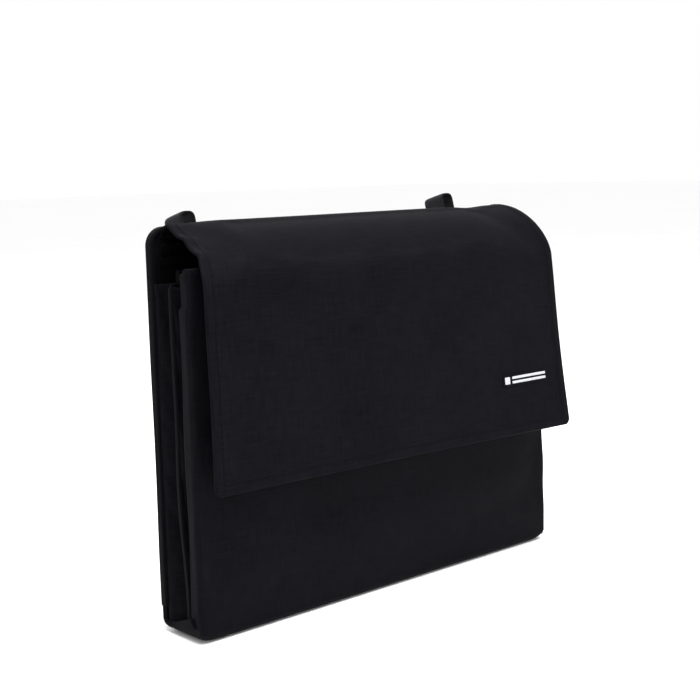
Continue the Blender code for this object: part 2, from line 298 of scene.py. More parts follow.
def inset_corners(low: Vector, high: Vector, inset: float) -> list[tuple[float, float]]:
    """The (x, z) corners of a box, moved in from its edges, in order round it, in metres."""
    x0, x1, z0, z1 = low.x + inset, high.x - inset, low.z + inset, high.z - inset
    return [(x0, z0), (x1, z0), (x1, z1), (x0, z1)]


@dataclass
class Section:
    """A line in the YZ plane that a sheet follows, in millimetres."""

    y: np.ndarray
    z: np.ndarray

    def __post_init__(self) -> None:
        """Measure the line."""
        self.run = np.concatenate([[0], np.cumsum(np.hypot(np.diff(self.y), np.diff(self.z)))])
        self.length = float(self.run[-1])

    def at(self, run: np.ndarray, reach: float) -> tuple[np.ndarray, ...]:
        """Places along the line and the directions out of it.

        Args:
            run: distances along it.
            reach: how far to each side of a place its slope is taken.

        Returns:
            y and z, and the y and z of the direction out.
        """
        y, z = (np.interp(run, self.run, axis) for axis in (self.y, self.z))
        after, before = run + reach, run - reach
        dy, dz = (np.interp(after, self.run, a) - np.interp(before, self.run, a) for a in (self.y, self.z))
        size = np.hypot(dy, dz)
        return y, z, dz / size, -dy / size


# --- Finishes ---


class Tree:
    """A material's node tree, with short calls to add and join its nodes."""

    def __init__(self, name: str) -> None:
        """Start a material with a Principled shader.

        Args:
            name: what to call it.
        """
        self.material = bpy.data.materials.new(name)
        self.material.use_nodes = True
        self.nodes = self.material.node_tree.nodes
        self.links = self.material.node_tree.links
        self.shader = self.nodes["Principled BSDF"]

    def add(self, kind: str, **settings: object) -> bpy.types.Node:
        """Add a node and set its properties.

        Args:
            kind: the node's type.
            settings: the properties to set on it.

        Returns:
            The node.
        """
        node = self.nodes.new(kind)
        for key, value in settings.items():
            setattr(node, key, value)
        return node

    def math(self, operation: str, first: object, second: object = 0.0) -> Socket:
        """Join two values with one sum.

        Args:
            operation: the node's operation.
            first: the first number or socket.
            second: the second number or socket.

        Returns:
            The result's socket.
        """
        node = self.add("ShaderNodeMath", operation=operation)
        for index, value in enumerate((first, second)):
            if isinstance(value, Socket):
                self.links.new(value, node.inputs[index])
            else:
                node.inputs[index].default_value = value
        return node.outputs[0]

    def axes(self) -> tuple[Socket, Socket, Socket]:
        """The place on the piece's own map, in metres along the cloth, as (along, across, vector).

        Returns:
            The sockets of the place along, of the place across, and of both as a vector.
        """
        source = self.add("ShaderNodeUVMap", uv_map=WEAVE_MAP).outputs["UV"]
        apart = self.add("ShaderNodeSeparateXYZ")
        self.links.new(source, apart.inputs[0])
        return apart.outputs["X"], apart.outputs["Y"], source

    def noise(self, vector: Socket, scale: float, stretch: tuple, detail: float = 3.0) -> Socket:
        """Noise on a stretched copy of a vector.

        Args:
            vector: the coordinates that it reads.
            scale: how fine it is.
            stretch: what the coordinates are multiplied by.
            detail: how many finer layers it has.

        Returns:
            The noise's socket.
        """
        mapping = self.add("ShaderNodeMapping")
        mapping.inputs["Scale"].default_value = stretch
        self.links.new(vector, mapping.inputs["Vector"])
        texture = self.add("ShaderNodeTexNoise")
        texture.inputs["Scale"].default_value = scale
        texture.inputs["Detail"].default_value = detail
        self.links.new(mapping.outputs[0], texture.inputs["Vector"])
        return texture.outputs["Fac"]

    def colour(self, factor: Socket, low: tuple, high: tuple) -> None:
        """Drive the base colour from a value, between two colours.

        Args:
            factor: the value that mixes the colours.
            low: the colour for low values.
            high: the colour for high values.
        """
        ramp = self.add("ShaderNodeValToRGB")
        ramp.color_ramp.elements[0].position = 0.3
        ramp.color_ramp.elements[0].color = (*low, 1)
        ramp.color_ramp.elements[1].position = 0.72
        ramp.color_ramp.elements[1].color = (*high, 1)
        self.links.new(factor, ramp.inputs["Fac"])
        self.links.new(ramp.outputs["Color"], self.shader.inputs["Base Color"])

    def rough(self, factor: Socket, low: float, high: float) -> None:
        """Drive the roughness from a value."""
        span = self.math("MULTIPLY", factor, high - low)
        self.links.new(self.math("ADD", span, low), self.shader.inputs["Roughness"])

    def bump(self, heights: list[tuple[Socket, float]]) -> None:
        """Chain bumps of (height, distance in metres) onto the shader's normal.

        Args:
            heights: the height and the distance of each bump.
        """
        before = None
        for height, distance in heights:
            node = self.add("ShaderNodeBump")
            node.inputs["Strength"].default_value = 1.0
            node.inputs["Distance"].default_value = distance
            self.links.new(height, node.inputs["Height"])
            if before is not None:
                self.links.new(before, node.inputs["Normal"])
            before = node.outputs["Normal"]
        self.links.new(before, self.shader.inputs["Normal"])


@dataclass(frozen=True)
class Weave:
    """A plain-woven cloth, webbing or tape: its colours, its threads and its gloss."""

    name: str
    dark: Triple
    light: Triple
    pitch_mm: tuple[float, float] = (0.75, 0.75)
    depth_mm: float = 0.05
    slub_mm: float = 0.09
    crumple_mm: float = 0.0
    roughness: tuple[float, float] = (0.5, 0.62)
    specular: float = 0.016
    sheen: float = 0.008
    sheen_roughness: float = 0.4
    fibres_per_m: tuple[float, float] = (1100.0, 60.0)  # across a thread and along it

    def build(self) -> bpy.types.Material:
        """Make the material.

        Returns:
            The material.
        """
        tree = Tree(self.name)
        along, across, place = tree.axes()
        waves = []
        for value, pitch in zip((along, across), self.pitch_mm):
            waves.append(tree.math("SINE", tree.math("MULTIPLY", value, 2 * math.pi / (pitch * MM))))
        threads = tree.math("MULTIPLY", waves[0], waves[1])
        fine, long = self.fibres_per_m
        warp = tree.noise(place, 1.0, (fine, long, fine), 2.0)
        weft = tree.noise(place, 1.0, (long, fine, long), 2.0)
        slubs = tree.math("MULTIPLY", tree.math("ADD", warp, weft), 0.5)
        patches = tree.noise(place, 22.0, (1.0, 1.0, 1.0), 4.0)
        tone = tree.math("ADD", tree.math("MULTIPLY", slubs, 0.75), tree.math("MULTIPLY", patches, 0.25))
        tree.colour(tone, self.dark, self.light)
        tree.rough(patches, *self.roughness)
        heights = [(slubs, self.slub_mm * MM), (threads, self.depth_mm * MM)]
        if self.crumple_mm:
            heights.insert(0, (tree.noise(place, 34.0, (1.0, 1.0, 1.0), 2.0), self.crumple_mm * MM))
        tree.bump(heights)
        tree.shader.inputs["Specular IOR Level"].default_value = self.specular
        tree.shader.inputs["Sheen Weight"].default_value = self.sheen
        tree.shader.inputs["Sheen Roughness"].default_value = self.sheen_roughness
        tree.shader.inputs["Sheen Tint"].default_value = (0.8, 0.82, 0.95, 1.0)
        return tree.material


@dataclass(frozen=True)
class Plain:
    """A moulded, foamed, spun or painted finish, with a fine grain."""

    name: str
    dark: Triple
    light: Triple
    grain_per_m: float
    grain_mm: float
    roughness: tuple[float, float]
    specular: float = 0.12

    def build(self) -> bpy.types.Material:
        """Make the material.

        Returns:
            The material.
        """
        tree = Tree(self.name)
        place = tree.add("ShaderNodeTexCoord").outputs["Object"]
        grain = tree.noise(place, self.grain_per_m, (1.0, 1.0, 1.0), 4.0)
        tree.colour(grain, self.dark, self.light)
        tree.rough(grain, *self.roughness)
        tree.bump([(grain, self.grain_mm * MM)])
        tree.shader.inputs["Specular IOR Level"].default_value = self.specular
        return tree.material


class Finishes:
    """Every material of the bag, made once."""

    def __init__(self) -> None:
        """Build the materials."""
        cloth = Weave("bag_cloth", (0.0016, 0.0015, 0.0023), (0.0064, 0.006, 0.0078), crumple_mm=0.3)
        dark, light = (0.001, 0.001, 0.0013), (0.0026, 0.0026, 0.0032)
        lining = Weave("lining", dark, light, (0.5, 0.5), 0.03, sheen=0.0)
        tape = Weave("binding_tape", (0.0015, 0.0015, 0.002), (0.0055, 0.0054, 0.0066), (0.9, 2.4), 0.1)
        webbing = Weave(
            "webbing", (0.001, 0.001, 0.0014), (0.015, 0.015, 0.019), (1.1, 3.2), 0.35, 0.12, specular=0.08
        )
        self.cloth = cloth.build()
        self.lining = lining.build()
        self.tape = tape.build()
        self.webbing = webbing.build()
        self.foam = Plain("foam", (0.03, 0.03, 0.034), (0.06, 0.06, 0.065), 1500.0, 0.3, (0.9, 1.0)).build()
        self.board = Plain("board", (0.02,) * 3, (0.032,) * 3, 260.0, 0.05, (0.5, 0.65)).build()
        yarn = ((0.0012, 0.0012, 0.0016), (0.0045, 0.0045, 0.0055))
        hook = ((0.002, 0.002, 0.0026), (0.006, 0.006, 0.0072))
        self.thread = Plain("thread", *yarn, 2400.0, 0.04, (0.6, 0.7), 0.04).build()
        self.hooks = Plain("hooks", *hook, 1800.0, 0.1, (0.5, 0.65), 0.04).build()
        dark, light = (0.34, 0.34, 0.36), (0.52, 0.52, 0.54)
        self.mark = Plain("label_yarn", dark, light, 2200.0, 0.06, (0.6, 0.75)).build()
        self.floor = Plain("studio_floor", (0.96,) * 3, (0.98,) * 3, 3.0, 0.0, (0.7, 0.75), 0.5).build()


# --- Meshes ---


def new_object(
    name: str, points: np.ndarray, faces: list, uv: np.ndarray | None, looks: list
) -> bpy.types.Object:
    """Make an object from points and faces, with its weave map and its materials.

    Args:
        name: the piece's name.
        points: its vertices in metres.
        faces: tuples of vertex numbers.
        uv: a place on the cloth for each vertex, in metres, or None.
        looks: its materials.

    Returns:
        The object, linked to the scene.
    """
    mesh = bpy.data.meshes.new(name)
    mesh.from_pydata(points.reshape(-1, 3).tolist(), [], faces)
    if uv is not None:
        layer = mesh.uv_layers.new(name=WEAVE_MAP)
        corners = np.zeros(len(mesh.loops), np.int32)
        mesh.loops.foreach_get("vertex_index", corners)
        layer.data.foreach_set("uv", uv.reshape(-1, 2)[corners].astype(np.float32).ravel())
    for look in looks:
        mesh.materials.append(look)
    mesh.shade_smooth()
    mesh.set_sharp_from_angle(angle=math.radians(SHARP_DEGREES))
    made = bpy.data.objects.new(name, mesh)
    bpy.context.scene.collection.objects.link(made)
    return made


def lengths_of(grid: np.ndarray) -> np.ndarray:
    """The distance of each point of a grid from its first row and column, along the cloth.

    Args:
        grid: the sheet's points.

    Returns:
        The lengths, in metres.
    """
    down = np.linalg.norm(np.diff(grid, axis=0), axis=2).mean(axis=1)
    across = np.linalg.norm(np.diff(grid, axis=1), axis=2).mean(axis=0)
    v, u = np.concatenate([[0], np.cumsum(down)]), np.concatenate([[0], np.cumsum(across)])
    return np.stack(np.broadcast_arrays(u[None, :], v[:, None]), axis=-1)


def cloth_piece(
    name: str,
    outer: np.ndarray,
    inner: np.ndarray,
    looks: list,
    outward: Triple,
    soft: tuple[bool, bool, bool, bool] = (True, True, True, True),
    uv: np.ndarray | None = None,
) -> bpy.types.Object:
    """A closed sheet between two grids, with its edges rolled round.

    Args:
        name: the piece's name.
        outer: its outer face, rows by columns by 3.
        inner: its inner face, of the same shape.
        looks: the materials of the outer face and edge and, if there are two, of the inner face.
        outward: a direction that the middle of the outer face looks in.
        soft: whether the first row, last column, last row and first column are rolled edges, not cuts.
        uv: places on the cloth, if they aren't measured from this piece's own first corner.

    Returns:
        The object.
    """
    rows, columns = outer.shape[:2]
    uv = lengths_of(outer) if uv is None else uv
    front, turn = grid_quads(outer, outward)
    faces = front.tolist() + (front[:, ::-1] + rows * columns).tolist()
    ring = [(0, j) for j in range(columns)]
    ring += [(i, columns - 1) for i in range(1, rows)]
    ring += [(rows - 1, j) for j in range(columns - 2, -1, -1)]
    ring += [(i, 0) for i in range(rows - 2, 0, -1)]
    ends = np.array(ring)
    away = np.zeros((len(ring), 3))
    for side, (rule, step) in enumerate(
        (
            (ends[:, 0] == 0, (1, 0)),
            (ends[:, 1] == columns - 1, (0, -1)),
            (ends[:, 0] == rows - 1, (-1, 0)),
            (ends[:, 1] == 0, (0, 1)),
        )
    ):
        at = ends[rule]
        if soft[side]:
            away[rule] += unit(outer[at[:, 0], at[:, 1]] - outer[at[:, 0] + step[0], at[:, 1] + step[1]])
    away = away / np.maximum(np.linalg.norm(away, axis=1, keepdims=True), 1.0)
    top, low = outer[ends[:, 0], ends[:, 1]], inner[ends[:, 0], ends[:, 1]]
    middle, half = (top + low) / 2, (top - low) / 2
    thick = np.linalg.norm(half, axis=1, keepdims=True)
    loops = [ends[:, 0] * columns + ends[:, 1]]
    added = []
    start = 2 * rows * columns
    for angle in (45, 90, 135):
        turned = math.radians(angle)
        added.append(middle + half * math.cos(turned) + away * thick * math.sin(turned))
        loops.append(start + np.arange(len(ring)))
        start += len(ring)
    loops.append(loops[0] + rows * columns)
    for near, far in zip(loops, loops[1:]):
        strip = np.stack([near, np.roll(near, -1), np.roll(far, -1), far], axis=-1)
        faces += (strip[:, ::-1] if turn else strip).tolist()
    points = np.concatenate([outer.reshape(-1, 3), inner.reshape(-1, 3), *added])
    flat = uv.reshape(-1, 2)
    rim_uv = uv[ends[:, 0], ends[:, 1]]
    made = new_object(name, points, faces, np.concatenate([flat, flat, rim_uv, rim_uv, rim_uv]), looks)
    if len(looks) > 1:
        numbers = np.zeros(len(faces), np.int32)
        numbers[len(front) : 2 * len(front)] = 1
        made.data.polygons.foreach_set("material_index", numbers)
    return made


def tape_piece(
    name: str,
    path: np.ndarray,
    wide: np.ndarray,
    thick: np.ndarray,
    look: bpy.types.Material,
    ring: bool = False,
) -> bpy.types.Object:
    """A tape with rounded edges, swept along a path.

    Args:
        name: the piece's name.
        path: the middle of the tape, points by 3.
        wide: half its width, as one vector or one for each point.
        thick: half its thickness, in the same way.
        look: its material.
        ring: whether the path closes on itself.

    Returns:
        The object.
    """
    turns = np.linspace(0, 2 * math.pi, TAPE_POINTS, endpoint=False)
    c, s = (np.sign(wave) * np.abs(wave) ** TAPE_SQUARE for wave in (np.cos(turns), np.sin(turns)))
    wide, thick = (np.broadcast_to(reach, path.shape) for reach in (wide, thick))
    points = path[:, None] + wide[:, None] * c[None, :, None] + thick[:, None] * s[None, :, None]
    count, around = points.shape[:2]
    steps = count if ring else count - 1
    faces = []
    for i in range(steps):
        for j in range(around):
            a, b = i * around + j, i * around + (j + 1) % around
            n = (i + 1) % count
            faces.append((a, n * around + j, n * around + (j + 1) % around, b))
    if not ring:
        faces.append(tuple(range(around)))
        faces.append(tuple((count - 1) * around + j for j in range(around - 1, -1, -1)))
    run = np.concatenate([[0], np.cumsum(np.linalg.norm(np.diff(path, axis=0), axis=1))])
    over = np.cumsum(np.linalg.norm(points[0] - np.roll(points[0], 1, axis=0), axis=1))
    uv = np.stack(np.broadcast_arrays(over[None, :], run[:, None]), axis=-1)
    made = new_object(name, points, faces, uv, [look])
    volume = np.cross(path[1] - path[0], wide[0]) @ thick[0]
    if volume > 0:
        made.data.flip_normals()
    return made


@dataclass(frozen=True)
class Settling:
    """How a sheet of cloth settles between the lines where it is held.

    Fields: growth is how much longer the cloth is than its pattern, push the pressure behind it, sag the
    share of gravity that it feels, cap_mm the furthest that a point may move, and frames the time.
    """

    growth: float = 0.004
    push: float = 0.5
    sag: float = 0.3
    cap_mm: float = 3.0
    frames: int = 18

    def run(self, grid: np.ndarray, hold: np.ndarray, outward: Triple) -> np.ndarray:
        """Settle a grid of cloth.

        Args:
            grid: its points, rows by columns by 3.
            hold: how firmly each point is held, from 0 to 1.
            outward: a direction that the middle of the cloth faces.

        Returns: How far each point moves, in metres.
        """
        quads = grid_quads(grid, outward)[0]
        cloth = new_object("settling", grid, quads.tolist(), None, [])
        held = cloth.vertex_groups.new(name="held")
        for number, weight in enumerate(hold.ravel()):
            if weight > 0:
                held.add([number], float(weight), "REPLACE")
        modifier = cloth.modifiers.new("cloth", "CLOTH")
        settings = modifier.settings
        for word, value in (
            ("quality", 6),
            ("mass", 0.2),
            ("tension_stiffness", 20),
            ("compression_stiffness", 20),
            ("shear_stiffness", 8),
            ("bending_stiffness", 2.5),
            ("air_damping", 4),
            ("vertex_group_mass", "held"),
            ("shrink_min", -self.growth),
            ("use_pressure", self.push != 0),
            ("uniform_pressure_force", self.push),
        ):
            setattr(settings, word, value)
        settings.effector_weights.gravity = self.sag
        modifier.point_cache.frame_start = 1
        modifier.point_cache.frame_end = self.frames
        scene = bpy.context.scene
        for frame in range(1, self.frames + 1):
            scene.frame_set(frame)
        done = cloth.evaluated_get(bpy.context.evaluated_depsgraph_get()).to_mesh()
        after = np.zeros(grid.size, np.float32)
        done.vertices.foreach_get("co", after)
        mesh = cloth.data
        bpy.data.objects.remove(cloth)
        bpy.data.meshes.remove(mesh)
        scene.frame_set(1)
        moved = after.reshape(grid.shape).astype(float) - grid
        far = np.linalg.norm(moved, axis=2, keepdims=True)
        cap = self.cap_mm * MM
        LOG.info("cloth settled by up to %.1f mm", float(far.max()) / MM)
        return moved / np.maximum(far, 1e-9) * cap * np.tanh(far / cap)


def settle_surface(
    surface: Surface,
    down: np.ndarray,
    over: np.ndarray,
    settling: Settling,
    hold: Surface,
    outward: Triple,
    step: float = 4.5,
) -> np.ndarray:
    """Points of a surface at fine places, after a coarse copy of it has settled.

    Args:
        surface: gives points in metres at places down and over it, in millimetres.
        down: fine places down it.
        over: fine places over it.
        settling: how the cloth settles.
        hold: gives how firmly each place is held.
        outward: a direction that its middle faces.
        step: the coarse copy's spacing in millimetres.

    Returns:
        The settled points, as rows by columns by 3.
    """
    rows = np.linspace(down[0], down[-1], max(4, round((down[-1] - down[0]) / step)))
    columns = np.linspace(over[0], over[-1], max(4, round((over[-1] - over[0]) / step)))
    coarse = surface(rows, columns)
    moved = settling.run(coarse, hold(rows, columns), outward)
    shares = [(places - places[0]) / (places[-1] - places[0]) for places in (down, over)]
    return surface(down, over) + resample(moved, *shares)


# --- Stitches and hooks ---


class Thread:
    """Rows of stitches, placed along lines by Geometry Nodes."""

    def __init__(self, look: bpy.types.Material) -> None:
        """Build the node group, whose inputs are the pitch, length and thickness of a stitch.

        Args:
            look: the thread's finish.
        """
        self.look = look
        group = bpy.data.node_groups.new("stitch_rows", "GeometryNodeTree")
        face = group.interface
        face.new_socket("Geometry", in_out="INPUT", socket_type="NodeSocketGeometry")
        for word, value in (("Pitch", 0.0032), ("Length", 0.0025), ("Thickness", 0.0005)):
            face.new_socket(word, in_out="INPUT", socket_type="NodeSocketFloat").default_value = value
        face.new_socket("Material", in_out="INPUT", socket_type="NodeSocketMaterial")
        face.new_socket("Geometry", in_out="OUTPUT", socket_type="NodeSocketGeometry")
        add = group.nodes.new
        entry, leave = add("NodeGroupInput"), add("NodeGroupOutput")
        curve, even = add("GeometryNodeMeshToCurve"), add("GeometryNodeResampleCurve")
        even.mode = "LENGTH"
        bead, shape = add("GeometryNodeMeshUVSphere"), add("GeometryNodeTransform")
        bead.inputs["Segments"].default_value = 6
        bead.inputs["Rings"].default_value = 5
        bead.inputs["Radius"].default_value = 0.5
        size, along = add("ShaderNodeCombineXYZ"), add("FunctionNodeAlignRotationToVector")
        along.axis = "Z"
        tangent, place = add("GeometryNodeInputTangent"), add("GeometryNodeInstanceOnPoints")
        real, smooth = add("GeometryNodeRealizeInstances"), add("GeometryNodeSetShadeSmooth")
        paint = add("GeometryNodeSetMaterial")
        for source, out, target, into in (
            (entry, "Geometry", curve, "Mesh"),
            (curve, "Curve", even, "Curve"),
            (entry, "Pitch", even, "Length"),
            (entry, "Thickness", size, "X"),
            (entry, "Thickness", size, "Y"),
            (entry, "Length", size, "Z"),
            (bead, "Mesh", shape, "Geometry"),
            (size, "Vector", shape, "Scale"),
            (tangent, "Tangent", along, "Vector"),
            (even, "Curve", place, "Points"),
            (shape, "Geometry", place, "Instance"),
            (along, "Rotation", place, "Rotation"),
            (place, "Instances", real, "Geometry"),
            (real, "Geometry", smooth, "Geometry"),
            (smooth, "Geometry", paint, "Geometry"),
            (entry, "Material", paint, "Material"),
            (paint, "Geometry", leave, "Geometry"),
        ):
            group.links.new(source.outputs[out], target.inputs[into])
        self.group = group
        self.keys = {s.name: s.identifier for s in face.items_tree if s.in_out == "INPUT"}

    def sew(self, name: str, lines: list[np.ndarray], **sizes: float) -> bpy.types.Object:
        """Sew along lines.

        Args:
            name: the new piece's name.
            lines: arrays of points in metres, one for each row of stitches.
            **sizes: Pitch, Length or Thickness in metres, where they differ from the usual ones.

        Returns:
            The stitches as one plain mesh.
        """
        edges, start = [], 0
        for line in lines:
            edges += [(start + i, start + i + 1) for i in range(len(line) - 1)]
            start += len(line)
        mesh = bpy.data.meshes.new(name)
        mesh.from_pydata(np.concatenate(lines).tolist(), edges, [])
        made = bpy.data.objects.new(name, mesh)
        bpy.context.scene.collection.objects.link(made)
        modifier = made.modifiers.new("stitches", "NODES")
        modifier.node_group = self.group
        modifier[self.keys["Material"]] = self.look
        for word, value in sizes.items():
            modifier[self.keys[word]] = value
        bpy.context.view_layer.update()
        result = bpy.data.meshes.new_from_object(made.evaluated_get(bpy.context.evaluated_depsgraph_get()))
        made.modifiers.clear()
        made.data = result
        bpy.data.meshes.remove(mesh)
        result.name = name
        return made


@dataclass
class Kit:
    """What every maker needs: the finishes and the thread."""

    looks: Finishes
    thread: Thread

    def ride(self, piece: bpy.types.Object, body: str, slot: Slot, *nodes: str) -> None:
        """Put a piece on a body, in place of CAD nodes."""
        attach(piece, body)
        self.record(piece, slot, nodes)

    def bend(self, piece: bpy.types.Object, bodies: tuple, zone: tuple, slot: Slot, *nodes: str) -> None:
        """Bake a piece's transform and hide the CAD nodes that it stands for; nothing bends it between bodies
        or over a zone.

        Args:
            piece: the object.
            bodies: the two bodies that it's held by; not used.
            zone: the (y, z) place of each body's end, in millimetres; not used.
            slot: the slot that it belongs to; not used.
        """
        start, end = ((0.0, y * MM, z * MM) for y, z in zone)
        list(bodies)
        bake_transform(piece)
        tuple(start)
        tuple(end)
        self.record(piece, slot, nodes)

    def sheet(self, piece: bpy.types.Object, held: str, face: np.ndarray) -> None:
        """Measure a piece's face along and across; the lengths are not kept or used."""
        across, down = lengths_of(face)[-1, -1]

    def record(self, piece: bpy.types.Object, slot: Slot, nodes: tuple) -> None:
        """Hide the CAD nodes that a piece stands for, and log its number of faces.

        Args:
            piece: the object.
            slot: the slot that it belongs to; not used.
            nodes: the CAD nodes that it covers, or none.
        """
        if nodes:
            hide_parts(*nodes)
        LOG.info("%s: %d faces", piece.name, len(piece.data.polygons))


# --- The flap ---


@dataclass
class Flap:
    """The flap: one cloth over a board, from the back panel over the crest and shoulder to its lower edge."""

    back_y: float = cad("back_panel", 1, 1)
    back_z: float = cad("back_panel", 1, 2, 0.3)
    crest_y: float = 10.0
    crest_z: float = cad("flap_root", 1, 2)
    shoulder_y: float = -33.0
    shoulder_z: float = 204.0
    edge_z: float = cad("flap_front_shell", 0, 2)
    edge_left_y: float = -36.0
    edge_right_y: float = cad("flap_front_shell", 0, 1)
    crest_half: float = cad("flap_root", 1, 0)
    edge_half: float = cad("flap_front_shell", 1, 0)
    corner: float = 2.4
    cloth: float = 1.7
    board: float = 2.2
    board_run: float = 78.0  # down the section line, where the board starts
    dent: float = 2.6  # how far the right shoulder is pushed in
    droop: float = 7.4  # how far the free left edge hangs
    curl: float = 2.2  # how far that edge curls up in two places
    # (y, z) at the crest and at the shoulder, given to bend, which does not use them
    lift_zone: tuple = ((15.0, 241.0), (3.0, 241.0))
    fold_zone: tuple = ((-19.0, 231.0), (-33.5, 211.0))
    # low x, high x, low z and high z
    label_box: tuple = (86.0, 130.0, 121.5, 129.5)
    label_bars: tuple = ((88.0, 92.5, 123.3, 127.7), (95.0, 127.5, 126.3, 127.7), (95.0, 127.5, 123.3, 124.7))
    hook_tape: tuple = (-43.0, 43.0, 101.0, 122.0)
    hook_field: tuple = (-40.0, 40.0, 103.0, 120.0)
    part_angle: float = 30.0  # round the shoulder, where the top piece ends and the front piece starts

    def __post_init__(self) -> None:
        """Work out the section line and the places along it where it changes."""
        back = np.radians(np.linspace(0, 90, 12))
        over = np.radians(np.linspace(0, 90, 80))[1:]
        fall = np.linspace(self.shoulder_z, self.edge_z, 40)[1:]
        tall = self.crest_z - self.shoulder_z
        y = (
            self.crest_y + (self.back_y - self.crest_y) * np.cos(back),
            self.crest_y - (self.crest_y - self.shoulder_y) * np.sin(over),
            np.full(len(fall), self.shoulder_y),
        )
        rise = self.back_z + (self.crest_z - self.back_z) * np.sin(back)
        z = (rise, self.shoulder_z + tall * np.cos(over), fall)
        self.line = Section(np.concatenate(y), np.concatenate(z))
        self.length = self.line.length
        self.crest_run = float(self.line.run[len(back) - 1])
        self.shoulder_run = float(self.line.run[len(back) + len(over) - 1])
        part_z = self.shoulder_z + tall * math.cos(math.radians(self.part_angle))
        front = self.line.y < self.crest_y
        self.part_run = float(np.interp(-part_z, -self.line.z[front], self.line.run[front]))

    def surface(self, down: np.ndarray, over: np.ndarray) -> np.ndarray:
        """The flap's outer face, with the dent and the curls that it has at rest.

        Args:
            down: places along the section line, in millimetres.
            over: places across it, from 0 to twice the lower edge's half width.

        Returns:
            Points in metres.
        """
        run, part = np.meshgrid(down, over / self.edge_half - 1, indexing="ij")
        side, end = corner_cut((1 - np.abs(part)) * self.edge_half, self.length - run, self.corner)
        part = np.sign(part) * (np.abs(part) - side / self.edge_half)
        run = run - end
        y, z, out_y, out_z = self.line.at(run, 0.5)
        drop = np.clip((self.shoulder_z - z) / (self.shoulder_z - self.edge_z), 0, 1)
        edge_y = self.edge_left_y + (self.edge_right_y - self.edge_left_y) * ((part + 1) / 2) ** 1.5
        spread = smoothstep((self.crest_z - z) / (self.crest_z - self.shoulder_z))
        half = self.crest_half + (self.edge_half - self.crest_half) * spread
        x = half * part
        y = y + (edge_y - self.shoulder_y) * drop**1.15
        dent = -self.dent * hump(x + 0.9 * (z - 225), 122, 13) * hump(z, 226, 16)
        free = smoothstep(1 - (x + half) / 34) * (x < 0)
        over_run = np.clip((run - self.crest_run) / (self.shoulder_run - self.crest_run), 0, 1)
        hang = np.sin(math.pi * over_run**0.68) ** 1.3
        droop = -free * (1.2 * hump(over_run, 0.1, 0.35) + self.droop * hang)
        curls = hump(over_run, 0.28, 0.09) + 0.8 * hump(over_run, 0.62, 0.09)
        curls = self.curl * smoothstep(1 - (x + half) / 11) * curls
        ripple = 0.5 * np.sin(x / 31 + run / 47) * np.sin(run / 29) * smoothstep(run / 40)
        off = dent + droop + curls + ripple
        return np.stack([x, y + out_y * off, z + out_z * off], axis=-1) * MM

    def build(self, kit: Kit) -> None:
        """Make the flap's cloth in two pieces, its stitches, its label and its half of the closure.

        Args:
            kit: the bag's finishes and its thread.
        """
        over = places_between(2 * self.edge_half, 3.0)
        down = places_between(self.length, 2.2, (False, True))
        down = np.sort(np.append(down, [self.part_run - 0.7, self.part_run, self.part_run + 0.7]))
        outward = FORWARD

        def hold(rows: np.ndarray, columns: np.ndarray) -> np.ndarray:
            """Held at the crest, and lightly by the board over the front.

            Args:
                rows: places down the cloth, in millimetres.
                columns: places across the cloth, in millimetres.

            Returns:
                How firmly each place is held, from 0 to 1.
            """
            near_root = 1 - smoothstep((rows - 14) / 10)
            board = 0.3 * smoothstep((rows - 30) / 110)
            hems = 0.45 * (1 - smoothstep((np.minimum(columns, columns[-1] - columns) - 4) / 16))
            return np.maximum(np.maximum(near_root, board)[:, None], hems[None, :])

        settling = Settling(growth=0.001, push=0.25, sag=0.06, cap_mm=1.2)
        outer = settle_surface(self.surface, down, over, settling, hold, outward)
        normals = normals_of(outer, outward)
        side = np.minimum(over, over[-1] - over)[None, :]
        end = (self.length - down)[:, None]
        edge = np.minimum(side, end)
        outer = outer + normals * (edge_hem(edge) * MM)[..., None]
        board = smoothstep((edge - 7) / 5) * smoothstep((down[:, None] - self.board_run) / 12)
        thick = self.cloth + 0.5 * smoothstep((HEM_FOLD - edge) / 2) + self.board * board
        inner = outer - normals * (thick * MM)[..., None]
        uv = lengths_of(outer)
        part = int(np.argmin(np.abs(down - self.part_run)))
        looks = [kit.looks.cloth, kit.looks.lining]
        top, front = slice(0, part + 1), slice(part, None)
        pieces = (
            ("flap_top", top, (True, True, False, True), ("shell", "flap_top"), self.lift_zone),
            ("flap_front", front, (False, True, True, True), ("flap_top", "flap_front"), self.fold_zone),
        )
        stands_for = (
            ("flap_root", "flap_top_shell", "flap_top_lining"),
            ("flap_front_shell", "flap_board", "flap_front_lining"),
        )
        for (name, rows, soft, bodies, zone), nodes in zip(pieces, stands_for):
            cloth = cloth_piece(f"{name}_cloth", outer[rows], inner[rows], looks, outward, soft, uv[rows])
            kit.bend(cloth, bodies, zone, Slot.CLOTH, *nodes)
            lines = []
            for face, lift in ((outer, 0.12), (inner, -0.12)):
                turned = face.swapaxes(0, 1), normals.swapaxes(0, 1)
                for place in (HEM_LINE, over[-1] - HEM_LINE):
                    line = row_line(*turned, over, place, lift)[rows]
                    lines.append(line[2:] if rows is top else line[:-9])
            if rows is front:
                for face, lift in ((outer, 0.12), (inner, -0.12)):
                    lines.append(row_line(face, normals, down, self.length - HEM_LINE, lift)[9:-9])
            kit.bend(kit.thread.sew(f"{name}_stitches", lines), bodies, zone, Slot.CLOTH)
        self.build_label(kit, (outer, normals, down, over))
        self.build_hooks(kit, (inner, -normals, down, over))

